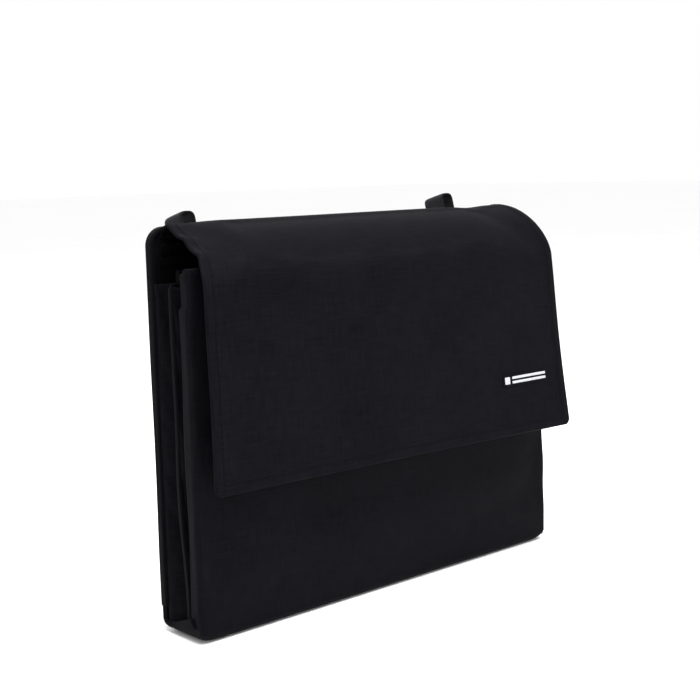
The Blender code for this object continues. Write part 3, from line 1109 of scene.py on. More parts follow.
    def patch(self, sheet: tuple, box: tuple, count: tuple) -> tuple[np.ndarray, np.ndarray]:
        """A small grid on one face of the flap.

        Args:
            sheet: the face's points and normals, and the places of its rows and columns.
            box: the low x, high x, low z and high z of the grid, in millimetres.
            count: its rows and columns.

        Returns:
            Its points and unit normals.
        """
        points, normals, down, over = sheet
        low_x, high_x, low_z, high_z = box
        foot = self.length + self.edge_z
        i = index_of(np.linspace(foot - high_z, foot - low_z, count[0]), down)
        j = index_of(np.linspace(low_x, high_x, count[1]) + self.edge_half, over)
        found = []
        for grid in (points, normals):
            low, part = i.astype(int), (i % 1)[:, None, None]
            lines = grid[low] * (1 - part) + grid[low + 1] * part
            low, part = j.astype(int), (j % 1)[None, :, None]
            found.append(lines[:, low] * (1 - part) + lines[:, low + 1] * part)
        return found[0], unit(found[1])

    def build_label(self, kit: Kit, sheet: tuple) -> None:
        """A plain woven label near the right corner: three light bars on a dark ground, with no lettering.

        Args:
            kit: the bag's finishes and thread.
            sheet: the flap's outer face, as patch takes it.
        """
        rows = [("label_ground", self.label_box, (5, 12), (0.05, 0.35), kit.looks.tape)]
        for number, bar in enumerate(self.label_bars):
            rows.append((f"label_bar_{number}", bar, (3, 8), (0.3, 0.62), kit.looks.mark))
        for name, box, count, (low, high), look in rows:
            base, face = self.patch(sheet, box, count)
            top = base + face * high * MM
            piece = cloth_piece(name, top, base + face * low * MM, [look], FORWARD)
            nodes = ("woven_label",) if name == "label_ground" else ()
            kit.ride(piece, "flap_front", Slot.LABEL, *nodes)

    def build_hooks(self, kit: Kit, sheet: tuple) -> None:
        """The hook tape on the flap's inner face, with its rows of hooks.

        Args:
            kit: the bag's finishes and thread.
            sheet: the flap's inner face, as patch takes it.
        """
        proud = 1.0 * MM
        base, face = self.patch(sheet, self.hook_tape, (6, 24))
        low = base + face * 0.1 * MM
        strip = cloth_piece("hook_tape", base + face * proud, low, [kit.looks.hooks], BACKWARD)
        kit.ride(strip, "flap_front", Slot.CLOSURE, "closure_hook_strip")
        ground, out = self.patch(sheet, self.hook_field, (12, 46))
        feet = (ground + out * proud).reshape(-1, 3)
        tips = feet + out.reshape(-1, 3) * 0.5 * MM
        lines = list(np.stack([feet, tips], axis=1))
        hooks = kit.thread.sew("hook_field", lines, Pitch=0.001, Length=0.001, Thickness=0.0005)
        kit.ride(hooks, "flap_front", Slot.CLOSURE)


# --- The body wrap: front, base and their turned sides ---


def flare(x: np.ndarray, y: np.ndarray, z: np.ndarray) -> np.ndarray:
    """How far the right side of the front stands out towards its foot, in millimetres."""
    return 4.0 * smoothstep((x - 70) / 75) * smoothstep((165 - z) / 150) * smoothstep((12 - y) / 24)


@dataclass
class BodyWrap:
    """One cloth up the front and under the base, whose sides turn in to meet the gussets."""

    half: float = cad("front_side_band_right", 1, 0)
    front_y: float = cad("front_panel", 0, 1)
    back_y: float = cad("bottom_panel", 1, 1)
    radius: float = 5.0
    top: float = cad("front_top_binding", 1, 2, -0.4)
    back_top: float = cad("bottom_panel", 1, 2, 0.3)
    side_radius: float = 3.2
    flange: float = 6.0
    cloth: float = 1.5
    corner_lift: float = 3.0
    puff: float = 0.8  # how far the front's middle stands out
    pucker: float = 0.35  # how deep the gathers beside its turned sides are
    zone: tuple = ((-4.0, 0.0), (-11.0, 0.0))  # (y, z) places given to bend, which does not use them

    def __post_init__(self) -> None:
        """Work out the path down the front, under the base and up to the back panel."""
        r = self.radius
        turn = np.radians(np.linspace(0, 90, 14))
        fall = np.linspace(self.top, r, 60)[:-1]
        front_y, back_y = self.front_y + r - r * np.cos(turn), self.back_y - r + r * np.sin(turn)
        y = (np.full(len(fall), self.front_y), front_y, back_y, [self.back_y])
        z = (fall, r - r * np.sin(turn), r - r * np.cos(turn), [self.back_top])
        self.line = Section(np.concatenate(y), np.concatenate(z))
        self.length = self.line.length
        self.base_run = float(self.line.run[len(fall)])
        self.over_length = 2 * (self.half - self.side_radius) + math.pi * self.side_radius + 2 * self.flange

    def surface(self, down: np.ndarray, over: np.ndarray) -> np.ndarray:
        """The wrap's outer face.

        Args:
            down: places along the path, from the front's top edge, in millimetres.
            over: places across the cloth, from the left side's inner edge.

        Returns:
            Points in metres.
        """
        run, place = np.meshgrid(down, over - self.over_length / 2, indexing="ij")
        y, z, out_y, out_z = self.line.at(run, 0.4)
        flat = self.half - self.side_radius
        bend = math.pi / 2 * self.side_radius
        beyond = np.clip(np.abs(place) - flat, 0, None)
        turn = np.clip(beyond / self.side_radius, 0, math.pi / 2)
        straight = np.clip(beyond - bend, 0, None)
        x = np.sign(place) * (np.minimum(np.abs(place), flat) + self.side_radius * np.sin(turn))
        shrink = 1 - 0.2 * smoothstep((23 - run) / 2) - 0.78 * smoothstep((run - self.base_run - 5) / 36)
        depth = (self.side_radius * (1 - np.cos(turn)) + straight) * shrink
        across = 1 - (np.abs(place) / flat).clip(0, 1) ** 4
        up = smoothstep(run / 12) * smoothstep((self.base_run - run) / 40)
        puff = self.puff * across * up
        waves = 0.3 * np.sin(place / 39 + run / 60) * np.sin(run / 41 + 0.6) * across * up
        pucker = self.pucker * np.sin(run / 6.3 + place / 90) * hump(beyond, self.side_radius * 0.8, 5) * up
        x = x - np.sign(place) * 0.8 * smoothstep(straight / 6) * np.sin(run / 33) ** 2
        off = puff + waves + pucker - depth
        y, z = y + out_y * off, z + out_z * off
        blur = 0.3 * depth
        z = (z + depth + np.sqrt((z - depth) ** 2 + blur**2)) / 2
        room = self.back_y - depth + 0.5 * puff
        y = np.where(run > self.base_run, np.clip(y, -room, room), y)
        x = x * (1 - 0.006 * smoothstep((22 - run) / 2))
        x = x + flare(x, y, z)
        z = z - 3.0 * smoothstep(straight / 5) * smoothstep((12 - run) / 12)
        corner = smoothstep((np.abs(place) - flat + 14) / (14 + bend)) ** 3
        z = z + self.corner_lift * corner * smoothstep((run - self.base_run + 24) / 24)
        return np.stack([x, y, z], axis=-1) * MM

    def build(self, kit: Kit) -> None:
        """Make the wrap, its top hem and its stitches.

        Args:
            kit: the bag's finishes and its thread.
        """
        outward = FORWARD
        flange = self.flange + self.side_radius * math.pi / 2
        fine = np.linspace(0, flange + 3, 16)
        fine = np.concatenate([fine, np.linspace(fine[-1], self.over_length / 2, 50)[1:]])
        over = np.concatenate([fine, self.over_length - fine[-2::-1]])
        lower = np.arange(self.base_run, self.length, 1.3)
        down = np.concatenate([places_between(self.base_run, 2.6, (True, False))[:-1], lower, [self.length]])

        def hold(rows: np.ndarray, columns: np.ndarray) -> np.ndarray:
            """Held along the top hem, over the base and at both turned sides.

            Args:
                rows: places down the cloth, in millimetres.
                columns: places across the cloth, in millimetres.

            Returns:
                How firmly each place is held, from 0 to 1.
            """
            ends = np.maximum(1 - smoothstep((rows - 6) / 8), smoothstep((rows - self.base_run + 26) / 20))
            sides = 1 - smoothstep((np.minimum(columns, columns[-1] - columns) - flange + 1) / 8)
            return np.maximum(ends[:, None], sides[None, :])

        settling = Settling(growth=0.0008, push=0.3, sag=0.06, cap_mm=0.7)
        outer = settle_surface(self.surface, down, over, settling, hold, outward)
        normals = normals_of(outer, outward)
        outer = outer + normals * (edge_hem(down) * MM)[:, None, None]
        inner = outer - normals * self.cloth * MM
        looks = [kit.looks.cloth, kit.looks.lining]
        wrap = cloth_piece("front_and_base_cloth", outer, inner, looks, outward, (True, True, False, True))
        nodes = ("front_panel", "bottom_panel", "front_side_band_left", "front_side_band_right")
        kit.bend(wrap, ("shell", "front"), self.zone, Slot.CLOTH, *nodes)
        lines = [row_line(outer, normals, down, HEM_LINE, 0.1)[14:-14]]
        raised = outer + normals * 0.05 * MM
        for place in (flange - 1.2, self.over_length - flange + 1.2):
            lines.append(raised[12:, int(index_of(place, over))])
        kit.bend(kit.thread.sew("front_and_base_stitches", lines), ("shell", "front"), self.zone, Slot.CLOTH)
        self.build_loop_tape(kit)

    def build_loop_tape(self, kit: Kit) -> None:
        """The soft half of the closure, on the front panel, with a fuzzy face.

        Args:
            kit: the bag's finishes and its thread.
        """
        low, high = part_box("closure_loop_strip")
        x = np.linspace(low.x, high.x, 90)
        z = np.linspace(low.z, high.z, 22)
        grid_x, grid_z = np.meshgrid(x, z)
        noise = np.random.default_rng(7).random(grid_x.shape) * 0.5 * MM
        front = low.y - 1.2 * MM
        outer = np.stack([grid_x, front - noise, grid_z], axis=-1)
        inner = np.stack([grid_x, np.full_like(grid_x, front + 1.8 * MM), grid_z], axis=-1)
        tape = cloth_piece("loop_tape", outer, inner, [kit.looks.hooks], FORWARD)
        kit.ride(tape, "front", Slot.CLOSURE, "closure_loop_strip")
        corners = inset_corners(low, high, 1.6 * MM)
        box = np.array([(a, front - 0.4 * MM, b) for a, b in corners + corners[:1]])
        kit.ride(kit.thread.sew("loop_tape_stitches", [box]), "front", Slot.CLOSURE)


# --- The gussets ---


def pleat_lean(z: np.ndarray) -> np.ndarray:
    """How far the divider's edge and its pleats stand towards the front, at heights in millimetres."""
    return -1.6 - 4.6 * smoothstep((95 - z) / 85)


@dataclass
class Gussets:
    """The two pleated sides, each one cloth from the back panel round the divider to the front."""

    half: float = cad("front_side_band_right", 1, 0)
    low: float = cad("gusset_rear_left", 0, 2, -6.1)
    top: float = cad("gusset_rear_left", 1, 2, 4.5)
    cloth: float = 0.8
    zone: tuple = ((11.2, 0.0), (-14.4, 0.0))  # (y, z) places given to bend, which does not use them
    # (depth in from the side, y) of the section's turning points, from the back to the front
    section: tuple = (
        *((2.2, 16.2), (2.6, 14.2), (8.5, 11.6), (14.0, 8.0), (9.5, 4.6), (4.2, 2.7), (2.4, 1.6), (1.9, 0.6)),
        *((2.4, -0.4), (4.4, -1.6), (9.0, -3.8), (13.0, -6.6), (9.0, -9.4), (4.4, -11.6), (2.6, -13.6)),
    )

    def surface(self, sign: int) -> Surface:
        """The gusset's outer face on one side, as a function of height and place across.

        Args:
            sign: 1 on the right and -1 on the left.

        Returns:
            The function that gives the points.
        """
        line = np.array(self.section, float)
        phase = 0.7 if sign < 0 else 2.1

        def points(down: np.ndarray, over: np.ndarray) -> np.ndarray:
            """Points at heights down from the top and places from 0 to 100 across.

            Args:
                down: places down the sheet, in millimetres.
                over: places across it, from 0 at the back to 100 at the front.

            Returns:
                The points, in metres.
            """
            drop, place = np.meshgrid(down, over / 100, indexing="ij")
            z = self.top - drop
            smooth_line = resample(line[:, None, :], np.linspace(0, 1, 141), np.array([0.0]))[:, 0]
            fine = np.linspace(0, 1, 141)
            depth = np.interp(place, fine, smooth_line[:, 0])
            y = np.interp(place, fine, smooth_line[:, 1])
            closing = 0.3 + 0.7 * smoothstep((z - self.low) / 34)
            pleat = (depth - 2.0) * closing
            sway = 0.9 * np.sin(z / 27 + phase) * smoothstep(pleat / 6)
            sway = sway + 0.5 * np.sin(z / 11 + 2 * phase + place * 9)
            lean = 0.7 * np.sin(z / 39 + phase + place * 4) * smoothstep(pleat / 8)
            lean = lean + np.sin(math.pi * place) * pleat_lean(z)
            inside = 2.0 + pleat + sway * smoothstep(pleat / 3)
            top_roll = 0.6 * hump(drop, 0, 5) * np.sin(place * 7)
            x = sign * (self.half - inside)
            y = y + lean
            return np.stack([x + flare(x, y, z), y, z + top_roll], axis=-1) * MM

        return points

    def build(self, kit: Kit) -> None:
        """Make both gussets with their top hems."""
        for side in Side:
            down = places_between(self.top - self.low, 2.6, (True, False))
            over = np.linspace(0, 100, 85)
            outward = (float(side.value), 0.0, 0.0)

            def hold(rows: np.ndarray, columns: np.ndarray) -> np.ndarray:
                """Held along both long seams, at the divider's edge and at the foot.

                Args:
                    rows: places down the cloth, in millimetres.
                    columns: places across the cloth, from 0 at the back to 100 at the front.

                Returns:
                    How firmly each place is held, from 0 to 1.
                """
                seams = 1 - smoothstep(np.minimum(columns, 100 - columns) / 9)
                seams = np.maximum(seams, hump(columns, 50, 5))
                foot = smoothstep((rows - rows[-1] + 12) / 10)
                return np.maximum(seams[None, :], foot[:, None])

            settling = Settling(growth=0.012, push=-0.3, sag=0.5, cap_mm=1.6)
            surface = self.surface(side.value)
            outer = settle_surface(surface, down, over, settling, hold, outward, step=2.6)
            normals = normals_of(outer, outward)
            outer = outer + normals * (edge_hem(down, 0.35) * MM)[:, None, None]
            inner = outer - normals * self.cloth * MM
            cloth = cloth_piece(f"gusset_cloth_{side.word}", outer, inner, [kit.looks.cloth], outward)
            nodes = (f"gusset_rear_{side.word}", f"gusset_front_{side.word}")
            kit.bend(cloth, ("shell", "front"), self.zone, Slot.CLOTH, *nodes)
            kit.sheet(cloth, "folded", outer)
            line = row_line(outer, normals, down, HEM_LINE, 0.1)
            stitches = kit.thread.sew(f"gusset_stitches_{side.word}", [line])
            kit.bend(stitches, ("shell", "front"), self.zone, Slot.CLOTH)


# --- The back ---


@dataclass
class Back:
    """The back panel with its slip pocket, its edge tapes and the tabs that hold the loops."""

    half: float = cad("back_edge_binding_right", 1, 0, -0.8)
    y: float = cad("back_panel", 1, 1)
    low: float = cad("bottom_panel", 1, 2, -0.5)
    top: float = cad("back_panel", 1, 2, 5.0)
    corner: float = 11.0
    pocket_half: float = cad("back_pocket_panel", 1, 0)
    pocket_top: float = cad("back_pocket_panel", 1, 2)
    pocket_bow: float = 6.0
    pocket_tape: float = 10.0
    pocket_cloth: float = 1.1
    cloth: float = 1.5
    edge_wide: float = 2.6  # half the edge tape's width
    edge_thick: float = 1.3  # half its thickness

    def panel(self, down: np.ndarray, over: np.ndarray) -> np.ndarray:
        """The back panel's outer face at drops from its top and places across it.

        Args:
            down: places down the sheet, in millimetres.
            over: places across it, in millimetres.

        Returns:
            The points, in metres.
        """
        x, z = rounded_panel(down, over, self.half, self.top, self.corner)
        wave = 0.25 * np.sin(x / 43) * np.sin(z / 51 + 0.4)
        return np.stack([x, self.y + wave - 0.1, z], axis=-1) * MM

    def pocket(self, down: np.ndarray, over: np.ndarray) -> np.ndarray:
        """The slip pocket's outer face: bowed off the panel, and slack along its top edge.

        Args:
            down: places down the sheet, in millimetres.
            over: places across it, in millimetres.

        Returns:
            The points, in metres.
        """
        drop, x = np.meshgrid(down, over - self.pocket_half, indexing="ij")
        z = self.pocket_top - drop
        across = 1 - (np.abs(x) / self.pocket_half) ** 6
        up = smoothstep((z - 10) / 28)
        slack = 0.5 * np.sin(x / 36 + 1.0) * np.sin(z / 57) * across * up
        droop = 1.2 * (1 - (x / self.pocket_half) ** 2) * smoothstep((z - 150) / 60)
        y = self.y + 1.6 + (self.pocket_bow * across + slack) * up
        return np.stack([x, y, z - droop], axis=-1) * MM

    def build(self, kit: Kit) -> None:
        """Make everything on the back.

        Args:
            kit: the bag's finishes and its thread.
        """
        outward = BACKWARD
        down = places_between(self.top - self.low, 5.0)
        over = places_between(2 * self.half, 5.0)
        outer = self.panel(down, over)
        inner = outer + np.array([0, -self.cloth * MM, 0])
        panel = cloth_piece("back_cloth", outer, inner, [kit.looks.cloth], outward)
        kit.ride(panel, "shell", Slot.CLOTH, "back_panel")
        kit.sheet(panel, "stretched", outer)
        self.build_pocket(kit)
        for side in Side:
            self.build_edge(kit, side)
            self.build_tab(kit, side)

    def build_pocket(self, kit: Kit) -> None:
        """The slip pocket and the folded tape along its mouth.

        Args:
            kit: the bag's finishes and its thread.
        """
        outward = BACKWARD
        down = places_between(self.pocket_top - self.low - 1, 3.4)
        over = places_between(2 * self.pocket_half, 4.0)

        def hold(rows: np.ndarray, columns: np.ndarray) -> np.ndarray:
            """Held down both sides and along the foot, and free at the mouth.

            Args:
                rows: places down the cloth, in millimetres.
                columns: places across the cloth, in millimetres.

            Returns:
                How firmly each place is held, from 0 to 1.
            """
            sides = 1 - smoothstep((np.minimum(columns, columns[-1] - columns) - 3) / 12)
            foot = smoothstep((rows - rows[-1] + 16) / 12)
            mouth = 0.4 * (1 - smoothstep(rows / 12))
            return np.maximum(np.maximum(sides[None, :], foot[:, None]), mouth[:, None])

        settling = Settling(growth=0.004, push=0.3, sag=0.25, cap_mm=2.0)
        outer = settle_surface(self.pocket, down, over, settling, hold, outward, step=5.5)
        normals = normals_of(outer, outward)
        edge = np.minimum(np.minimum(over, over[-1] - over)[None, :], (down[-1] - down)[:, None])
        outer = outer + normals * (edge_hem(edge, 0.3) * MM)[..., None]
        inner = outer - normals * self.pocket_cloth * MM
        cloth = cloth_piece("slip_pocket_cloth", outer, inner, [kit.looks.cloth, kit.looks.lining], outward)
        kit.ride(cloth, "shell", Slot.CLOTH, "back_pocket_panel")
        kit.sheet(cloth, "stretched", outer)
        mouth = down <= self.pocket_tape
        tape_out = outer[mouth] + normals[mouth] * 0.55 * MM
        tape_out[0] = outer[0] + np.array([0, 0, 0.6 * MM])
        tape_in = outer[mouth] - normals[mouth] * 1.6 * MM
        tape = cloth_piece("slip_pocket_tape", tape_out, tape_in, [kit.looks.tape], outward)
        kit.ride(tape, "shell", Slot.TAPE, "back_pocket_binding")
        lines = [row_line(outer, normals, down, place, 0.75)[3:-3] for place in (2.2, 7.8)]
        lines.append(row_line(outer, normals, down, down[-1] - HEM_LINE, 0.15)[9:-9])
        raised = outer + normals * 0.15 * MM
        for place in (HEM_LINE, over[-1] - HEM_LINE):
            lines.append(raised[12:-9, round(float(index_of(place, over)))])
        kit.ride(kit.thread.sew("slip_pocket_stitches", lines), "shell", Slot.CLOTH)

    def build_edge(self, kit: Kit, side: Side) -> None:
        """The folded tape down one edge of the back panel.

        Args:
            kit: the bag's finishes and its thread.
            side: the side it's on.
        """
        node = f"back_edge_binding_{side.word}"
        low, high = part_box(node)
        turn = np.radians(np.linspace(0, 90, 14))[1:]
        bend = self.corner - 1.0
        rise = np.linspace(low.z / MM, self.top - 0.6 - bend, 60)
        across = np.linspace(self.half - 0.6 - bend, self.half - 22, 6)[1:]
        edge = self.half - 0.6
        x = np.concatenate([np.full(60, edge), edge - bend * (1 - np.cos(turn)), across])
        z = np.concatenate([rise, rise[-1] + bend * np.sin(turn), np.full(5, self.top - 0.6)])
        x = side.value * (x + 0.2 * np.sin(z / 21))
        y = (low.y + high.y) / 2 / MM + 0.9 + 0.2 * np.sin(z / 34)
        path = np.stack([x, y, z], axis=-1) * MM
        ahead = unit(np.gradient(path, axis=0))
        wide = np.array([0.0, self.edge_wide * MM, 0.0])
        thick = np.cross(ahead, np.array(BACKWARD)) * self.edge_thick * MM
        kit.ride(tape_piece(f"{node}_tape", path, wide, thick, kit.looks.tape), "shell", Slot.TAPE, node)

    def build_tab(self, kit: Kit, side: Side) -> None:
        """The webbing tab that holds a loop, with its box of stitches.

        Args:
            kit: the bag's finishes and its thread.
            side: the side it's on.
        """
        node = f"strap_loop_tab_{side.word}"
        low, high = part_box(node)
        z = np.linspace(low.z - 0.5 * MM, high.z, 26)
        y = (low.y + high.y) / 2 + 0.1 * MM * np.sin(z / 0.002)
        path = np.stack([np.full_like(z, (low.x + high.x) / 2), y, z], axis=-1)
        wide = np.array([(high.x - low.x) / 2, 0.0, 0.0])
        thick = np.array([0.0, (high.y - low.y) / 2, 0.0])
        tab = tape_piece(f"{node}_webbing", path, wide, thick, kit.looks.webbing)
        kit.ride(tab, "shell", Slot.WEBBING, node)
        a, b, c, d = inset_corners(low, high, 2.4 * MM)
        face = high.y + 0.15 * MM
        lines = [np.array([(x, face, z) for x, z in row]) for row in ((a, b, c, d, a, c), (b, d))]
        stitches = kit.thread.sew(f"{node}_stitches", lines, Pitch=0.0027, Length=0.0022)
        kit.ride(stitches, "shell", Slot.WEBBING)


# --- The mouth: divider, linings and top tapes ---


@dataclass(frozen=True)
class LiningPanel:
    """A flat piece of lining: its CAD node, its body, the way it faces along Y and its corners' radius."""

    node: str
    body: str
    facing: int
    corner: float = 7.0
    thick: float = 0.7
    ripple: float = 0.35
    follows_pleats: bool = False

    def build(self, kit: Kit) -> None:
        """Make the lining, gently rippled, with a stitched hem along its top.

        Args:
            kit: the bag's finishes and its thread.
        """
        low, high = (np.array(corner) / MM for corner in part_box(self.node))
        down, over = places_between(high[2] - low[2], 5.0), places_between(2 * high[0], 5.0)
        x, z = rounded_panel(down, over, high[0], high[2], self.corner)
        face = high[1] if self.facing > 0 else low[1]
        wave = 0.5 + 0.5 * np.sin(x / 31 + z / 67) * np.sin(z / 38 + x / 90)
        y = face - self.facing * self.ripple * wave
        if self.follows_pleats:
            y = y + pleat_lean(z) * smoothstep((np.abs(x) - 60) / 80)
        outward = (0.0, float(self.facing), 0.0)
        outer = np.stack([x, y, z], axis=-1) * MM
        normals = normals_of(outer, outward)
        inner = outer - normals * self.thick * MM
        cloth = cloth_piece(f"{self.node}_cloth", outer, inner, [kit.looks.lining], outward)
        kit.ride(cloth, self.body, Slot.LINING, self.node)
        kit.sheet(cloth, "stretched", outer)
        line = row_line(outer, normals, down, HEM_LINE, 0.12)[4:-4]
        kit.ride(kit.thread.sew(f"{self.node}_stitches", [line]), self.body, Slot.LINING)


@dataclass
class Mouth:
    """What shows when the flap is up: the tapes along the divider and the front, and the linings."""

    linings: tuple = (
        LiningPanel("back_lining", "shell", -1),
        LiningPanel("mouth_facing", "shell", -1, corner=2.0),
        LiningPanel("front_lining", "front", 1),
        LiningPanel("divider_panel", "divider", 1, corner=18.0, thick=1.3, ripple=0.2, follows_pleats=True),
    )

    tape_tall: float = 5.0  # half the height of a folded top tape

    def build(self, kit: Kit) -> None:
        """Make the linings and the tapes.

        Args:
            kit: the bag's finishes and its thread.
        """
        for lining in self.linings:
            lining.build(kit)
        for node, body in (("front_top_binding", "front"), ("divider_top_binding", "divider")):
            self.build_top_tape(kit, node, body)
        for side in Side:
            node = f"divider_edge_binding_{side.word}"
            low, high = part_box(node)
            z = np.linspace(low.z, high.z, 50)
            x = (low.x + high.x) / 2 + 0.3 * MM * np.sin(z / 0.017) + side.value * 0.4 * MM
            path = np.stack([x, (low.y + high.y) / 2 + pleat_lean(z / MM) * MM, z], axis=-1)
            wide = np.array([0.0, 1.5 * MM, 0.0])
            thick = np.array([1.3 * MM, 0.0, 0.0])
            tape = tape_piece(f"{node}_tape", path, wide, thick, kit.looks.tape)
            kit.ride(tape, "divider", Slot.TAPE, node)

    def build_top_tape(self, kit: Kit, node: str, body: str) -> None:
        """A folded tape over a top edge, gently uneven, with a row of stitches on each face.

        Args:
            kit: the bag's finishes and its thread.
            node: the CAD node that it covers.
            body: the body that it rides on.
        """
        low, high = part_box(node)
        x = np.linspace(low.x, high.x, 90)
        wave = 0.35 * MM * np.sin(x / 0.03) + 0.2 * MM * np.sin(x / 0.011)
        middle_y = (low.y + high.y) / 2 + 0.3 * MM * np.sin(x / 0.05)
        tall = self.tape_tall * MM
        path = np.stack([x, middle_y, high.z - tall + wave], axis=-1)
        wide = np.array([0.0, 0.0, tall])
        half = (high.y - low.y) / 2 + (0.5 if body == "divider" else -0.6) * MM
        thick = np.array([0.0, half, 0.0])
        look = kit.looks.lining if body == "divider" else kit.looks.tape
        kit.ride(tape_piece(f"{node}_tape", path, wide, thick, look), body, Slot.TAPE, node)
        lines = [(path + np.array([0.0, face * (half + 0.1 * MM), -2.6 * MM]))[1:-1] for face in (-1, 1)]
        kit.ride(kit.thread.sew(f"{node}_stitches", lines), body, Slot.TAPE)


def dress_inner_nodes(frame: dict, looks: Finishes) -> None:
    """Give the flat inner pieces that stay as CAD made them their finishes.

    Args:
        looks: the bag's materials.
    """
    dressed = {
        "front_foam": looks.foam,
        "back_board": looks.board,
        "bottom_board": looks.board,
    }
    for node, look in dressed.items():
        for slot in frame["nodes"][node].material_slots:
            slot.material = look


# --- The webbing loops ---


@dataclass
class WebbingLoop:
    """One loop of ribbed webbing, whose legs come down to a stitched foot."""

    side: Side
    shift: tuple[float, float] = (0.0, 0.0)  # from the CAD loop's middle, along X and Z
    width: float = 18.0
    span: float = 8.0
    height: float = 23.0
    thick: float = 1.6
    lean: float = math.radians(15)
    foot_radius: float = 1.6
    neck_z: float = 226.0
    stitch_reach: float = 6.2  # of the rows of stitches, from the middle of its width
    stitch_run: float = 8.5
    arch_square: float = 0.62  # how square its arch is: 1 makes it round

    def build(self, kit: Kit) -> None:
        """Sweep the webbing round the loop and bind its foot.

        Args:
            kit: the bag's finishes and its thread.
        """
        half, tall = (self.span + self.thick) / 2, (self.height - self.thick) / 2
        top = np.radians(np.linspace(0, 180, 22))
        square, r = self.arch_square, self.foot_radius
        arch_x = np.sign(np.cos(top)) * np.abs(np.cos(top)) ** square
        arch = np.stack([half * arch_x, tall - half + half * np.sin(top) ** square], axis=1)
        legs = np.linspace(tall - half, -tall + r, 12)[1:]
        foot = np.radians(np.linspace(0, 90, 6))[1:]
        left = np.stack([np.full(len(legs), -half), legs], axis=1)
        turn_left = np.stack([-half + r * (1 - np.cos(foot)), -tall + r * (1 - np.sin(foot))], axis=1)
        turn_right = turn_left[::-1] * np.array([-1, 1])
        right = left[::-1] * np.array([-1, 1])
        line = np.concatenate([arch, left, turn_left, turn_right, right])
        ahead = unit(np.roll(line, -1, axis=0) - np.roll(line, 1, axis=0))
        out = np.stack([ahead[:, 1], -ahead[:, 0]], axis=1)
        place = np.array(Matrix.Rotation(-self.lean, 3, "X"))
        low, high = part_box(f"strap_loop_{self.side.word}")
        middle = np.round(np.array((low + high) / 2) / MM, 1)
        centre = middle + np.array([self.shift[0], 0.0, self.shift[1]])

        def put(points: np.ndarray) -> np.ndarray:
            """Turn (x, z) pairs into places in the frame, in metres."""
            full = np.stack([points[:, 0], np.zeros(len(points)), points[:, 1]], axis=1)
            return full @ place.T * MM

        path = put(line) + centre * MM
        wide = place @ np.array([0.0, self.width / 2, 0.0]) * MM
        thick = put(out * self.thick / 2)
        loop = tape_piece(f"webbing_loop_{self.side.word}", path, wide, thick, kit.looks.webbing, ring=True)
        body = f"loop_{self.side.word}"
        kit.ride(loop, body, Slot.WEBBING, f"strap_loop_{self.side.word}")
        self.build_neck(kit, centre - place @ np.array([0.0, 0.0, tall]))
        rows = []
        face = half + self.thick / 2 + 0.1
        for along in (-self.stitch_reach, self.stitch_reach):
            for sign in (-1, 1):
                ends = np.array([[sign * face, 0.0], [sign * face, -self.stitch_run]])
                shift = place @ np.array([0.0, along, 0.0]) * MM
                rows.append(put(ends) + centre * MM + shift)
        kit.ride(kit.thread.sew(f"webbing_loop_stitches_{self.side.word}", rows), body, Slot.WEBBING)

    def build_neck(self, kit: Kit, foot: np.ndarray) -> None:
        """Make the short webbing that joins the loop's foot to its tab.

        Args:
            kit: the bag's materials and thread.
            foot: the middle of the loop's foot, in millimetres.
        """
        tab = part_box(f"strap_loop_tab_{self.side.word}")[1]
        y = np.linspace(tab.y / MM - 0.3, foot[1] - 1.5, 12)
        level = foot[2] + (foot[1] - y) * math.tan(self.lean) + 0.3
        z = level + (self.neck_z - level) * (1 - smoothstep((y - y[0]) / 6))
        path = np.stack([np.full(12, foot[0]), y, z], axis=1) * MM
        wide = np.array([(self.span - 0.6) / 2 * MM, 0.0, 0.0])
        thick = np.cross(unit(np.gradient(path, axis=0)), [1.0, 0.0, 0.0]) * self.thick / 2 * MM
        neck = tape_piece(f"webbing_neck_{self.side.word}", path, wide, thick, kit.looks.webbing)
        kit.ride(neck, f"loop_{self.side.word}", Slot.WEBBING)


# --- The studio ---


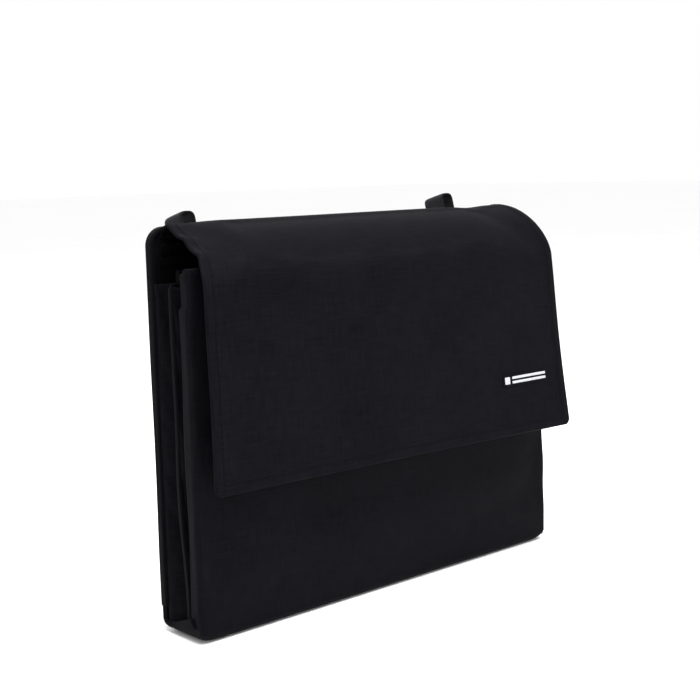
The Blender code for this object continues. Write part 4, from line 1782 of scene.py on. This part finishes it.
@dataclass
class Studio:
    """Camera, soft light and a plain pale floor, in metres."""

    camera_at: Triple = (-0.55674, -0.61472, 0.26886)
    right: Triple = (0.74664613, -0.66472559, -0.02567975)
    up: Triple = (0.1108698, 0.08628439, 0.99008227)
    back: Triple = (-0.65591725, -0.7420882, 0.1381219)
    lens_mm: float = 66.86
    sensor_mm: float = 36.0
    aim_at: Triple = (0.0, 0.0, 0.12)
    floor_half: float = 14.0
    floor_z: float = -0.6 * MM
    # name, place, width and power in watts
    lights: tuple = (
        ("overhead", (-0.1, -0.35, 1.35), 0.9, 33.0),
        ("front_left", (-1.3, -1.1, 0.9), 1.1, 0.6),
        ("front_right", (1.3, -1.4, 0.9), 1.1, 3.0),
        ("behind", (0.4, 1.6, 1.0), 1.2, 6.0),
    )

    def build(self, looks: Finishes) -> None:
        """Set up the camera, the lights, the world and the floor.

        Args:
            looks: the finishes.
        """
        scene = bpy.context.scene
        data = bpy.data.cameras.new("camera")
        data.lens, data.sensor_width = self.lens_mm, self.sensor_mm
        data.clip_start, data.clip_end = 0.01, 30.0
        camera = bpy.data.objects.new("camera", data)
        turn = Matrix((self.right, self.up, self.back)).transposed().to_4x4()
        camera.matrix_world = Matrix.Translation(self.camera_at) @ turn
        scene.collection.objects.link(camera)
        scene.camera = camera
        for light in self.lights:
            self.add_light(*light)
        world = bpy.data.worlds.new("studio")
        world.use_nodes = True
        world.node_tree.nodes["Background"].inputs["Color"].default_value = (1.0, 1.0, 1.0, 1.0)
        world.node_tree.nodes["Background"].inputs["Strength"].default_value = 1.0
        scene.world = world
        scene.view_settings.view_transform = "Standard"
        self.add_floor(looks)

    def add_light(self, name: str, place: tuple, size: float, power: float) -> None:
        """Hang a square soft light that faces the bag.

        Args:
            name: what to call it.
            place: where it stands, in metres.
            size: the width of its square.
            power: its strength, in watts.
        """
        data = bpy.data.lights.new(name, "AREA")
        data.shape, data.size, data.energy = "SQUARE", size, power
        light = bpy.data.objects.new(name, data)
        aim = Vector(self.aim_at) - Vector(place)
        light.matrix_world = Matrix.Translation(place) @ aim.to_track_quat("-Z", "Y").to_matrix().to_4x4()
        bpy.context.scene.collection.objects.link(light)

    def add_floor(self, looks: Finishes) -> None:
        """Lay the floor just under the bag.

        Args:
            looks: the finishes.
        """
        half = self.floor_half
        corners = [(x * half, y * half, self.floor_z) for x, y in ((-1, -1), (1, -1), (1, 1), (-1, 1))]
        floor = new_object("floor", np.array(corners), [(0, 1, 2, 3)], None, [looks.floor])


def main() -> None:
    """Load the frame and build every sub-assembly."""
    logging.basicConfig(level=logging.INFO, format="%(name)s: %(message)s")
    for item in list(bpy.data.objects):
        bpy.data.objects.remove(item, do_unlink=True)
    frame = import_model()
    looks = Finishes()
    Studio().build(looks)
    kit = Kit(looks, Thread(looks.thread))
    dress_inner_nodes(frame, looks)
    Back().build(kit)
    BodyWrap().build(kit)
    Gussets().build(kit)
    Mouth().build(kit)
    Flap().build(kit)
    WebbingLoop(Side.LEFT, (-5.0, 0.0)).build(kit)
    WebbingLoop(Side.RIGHT, (0.0, 3.5)).build(kit)


if __name__ == "__main__":
    main()
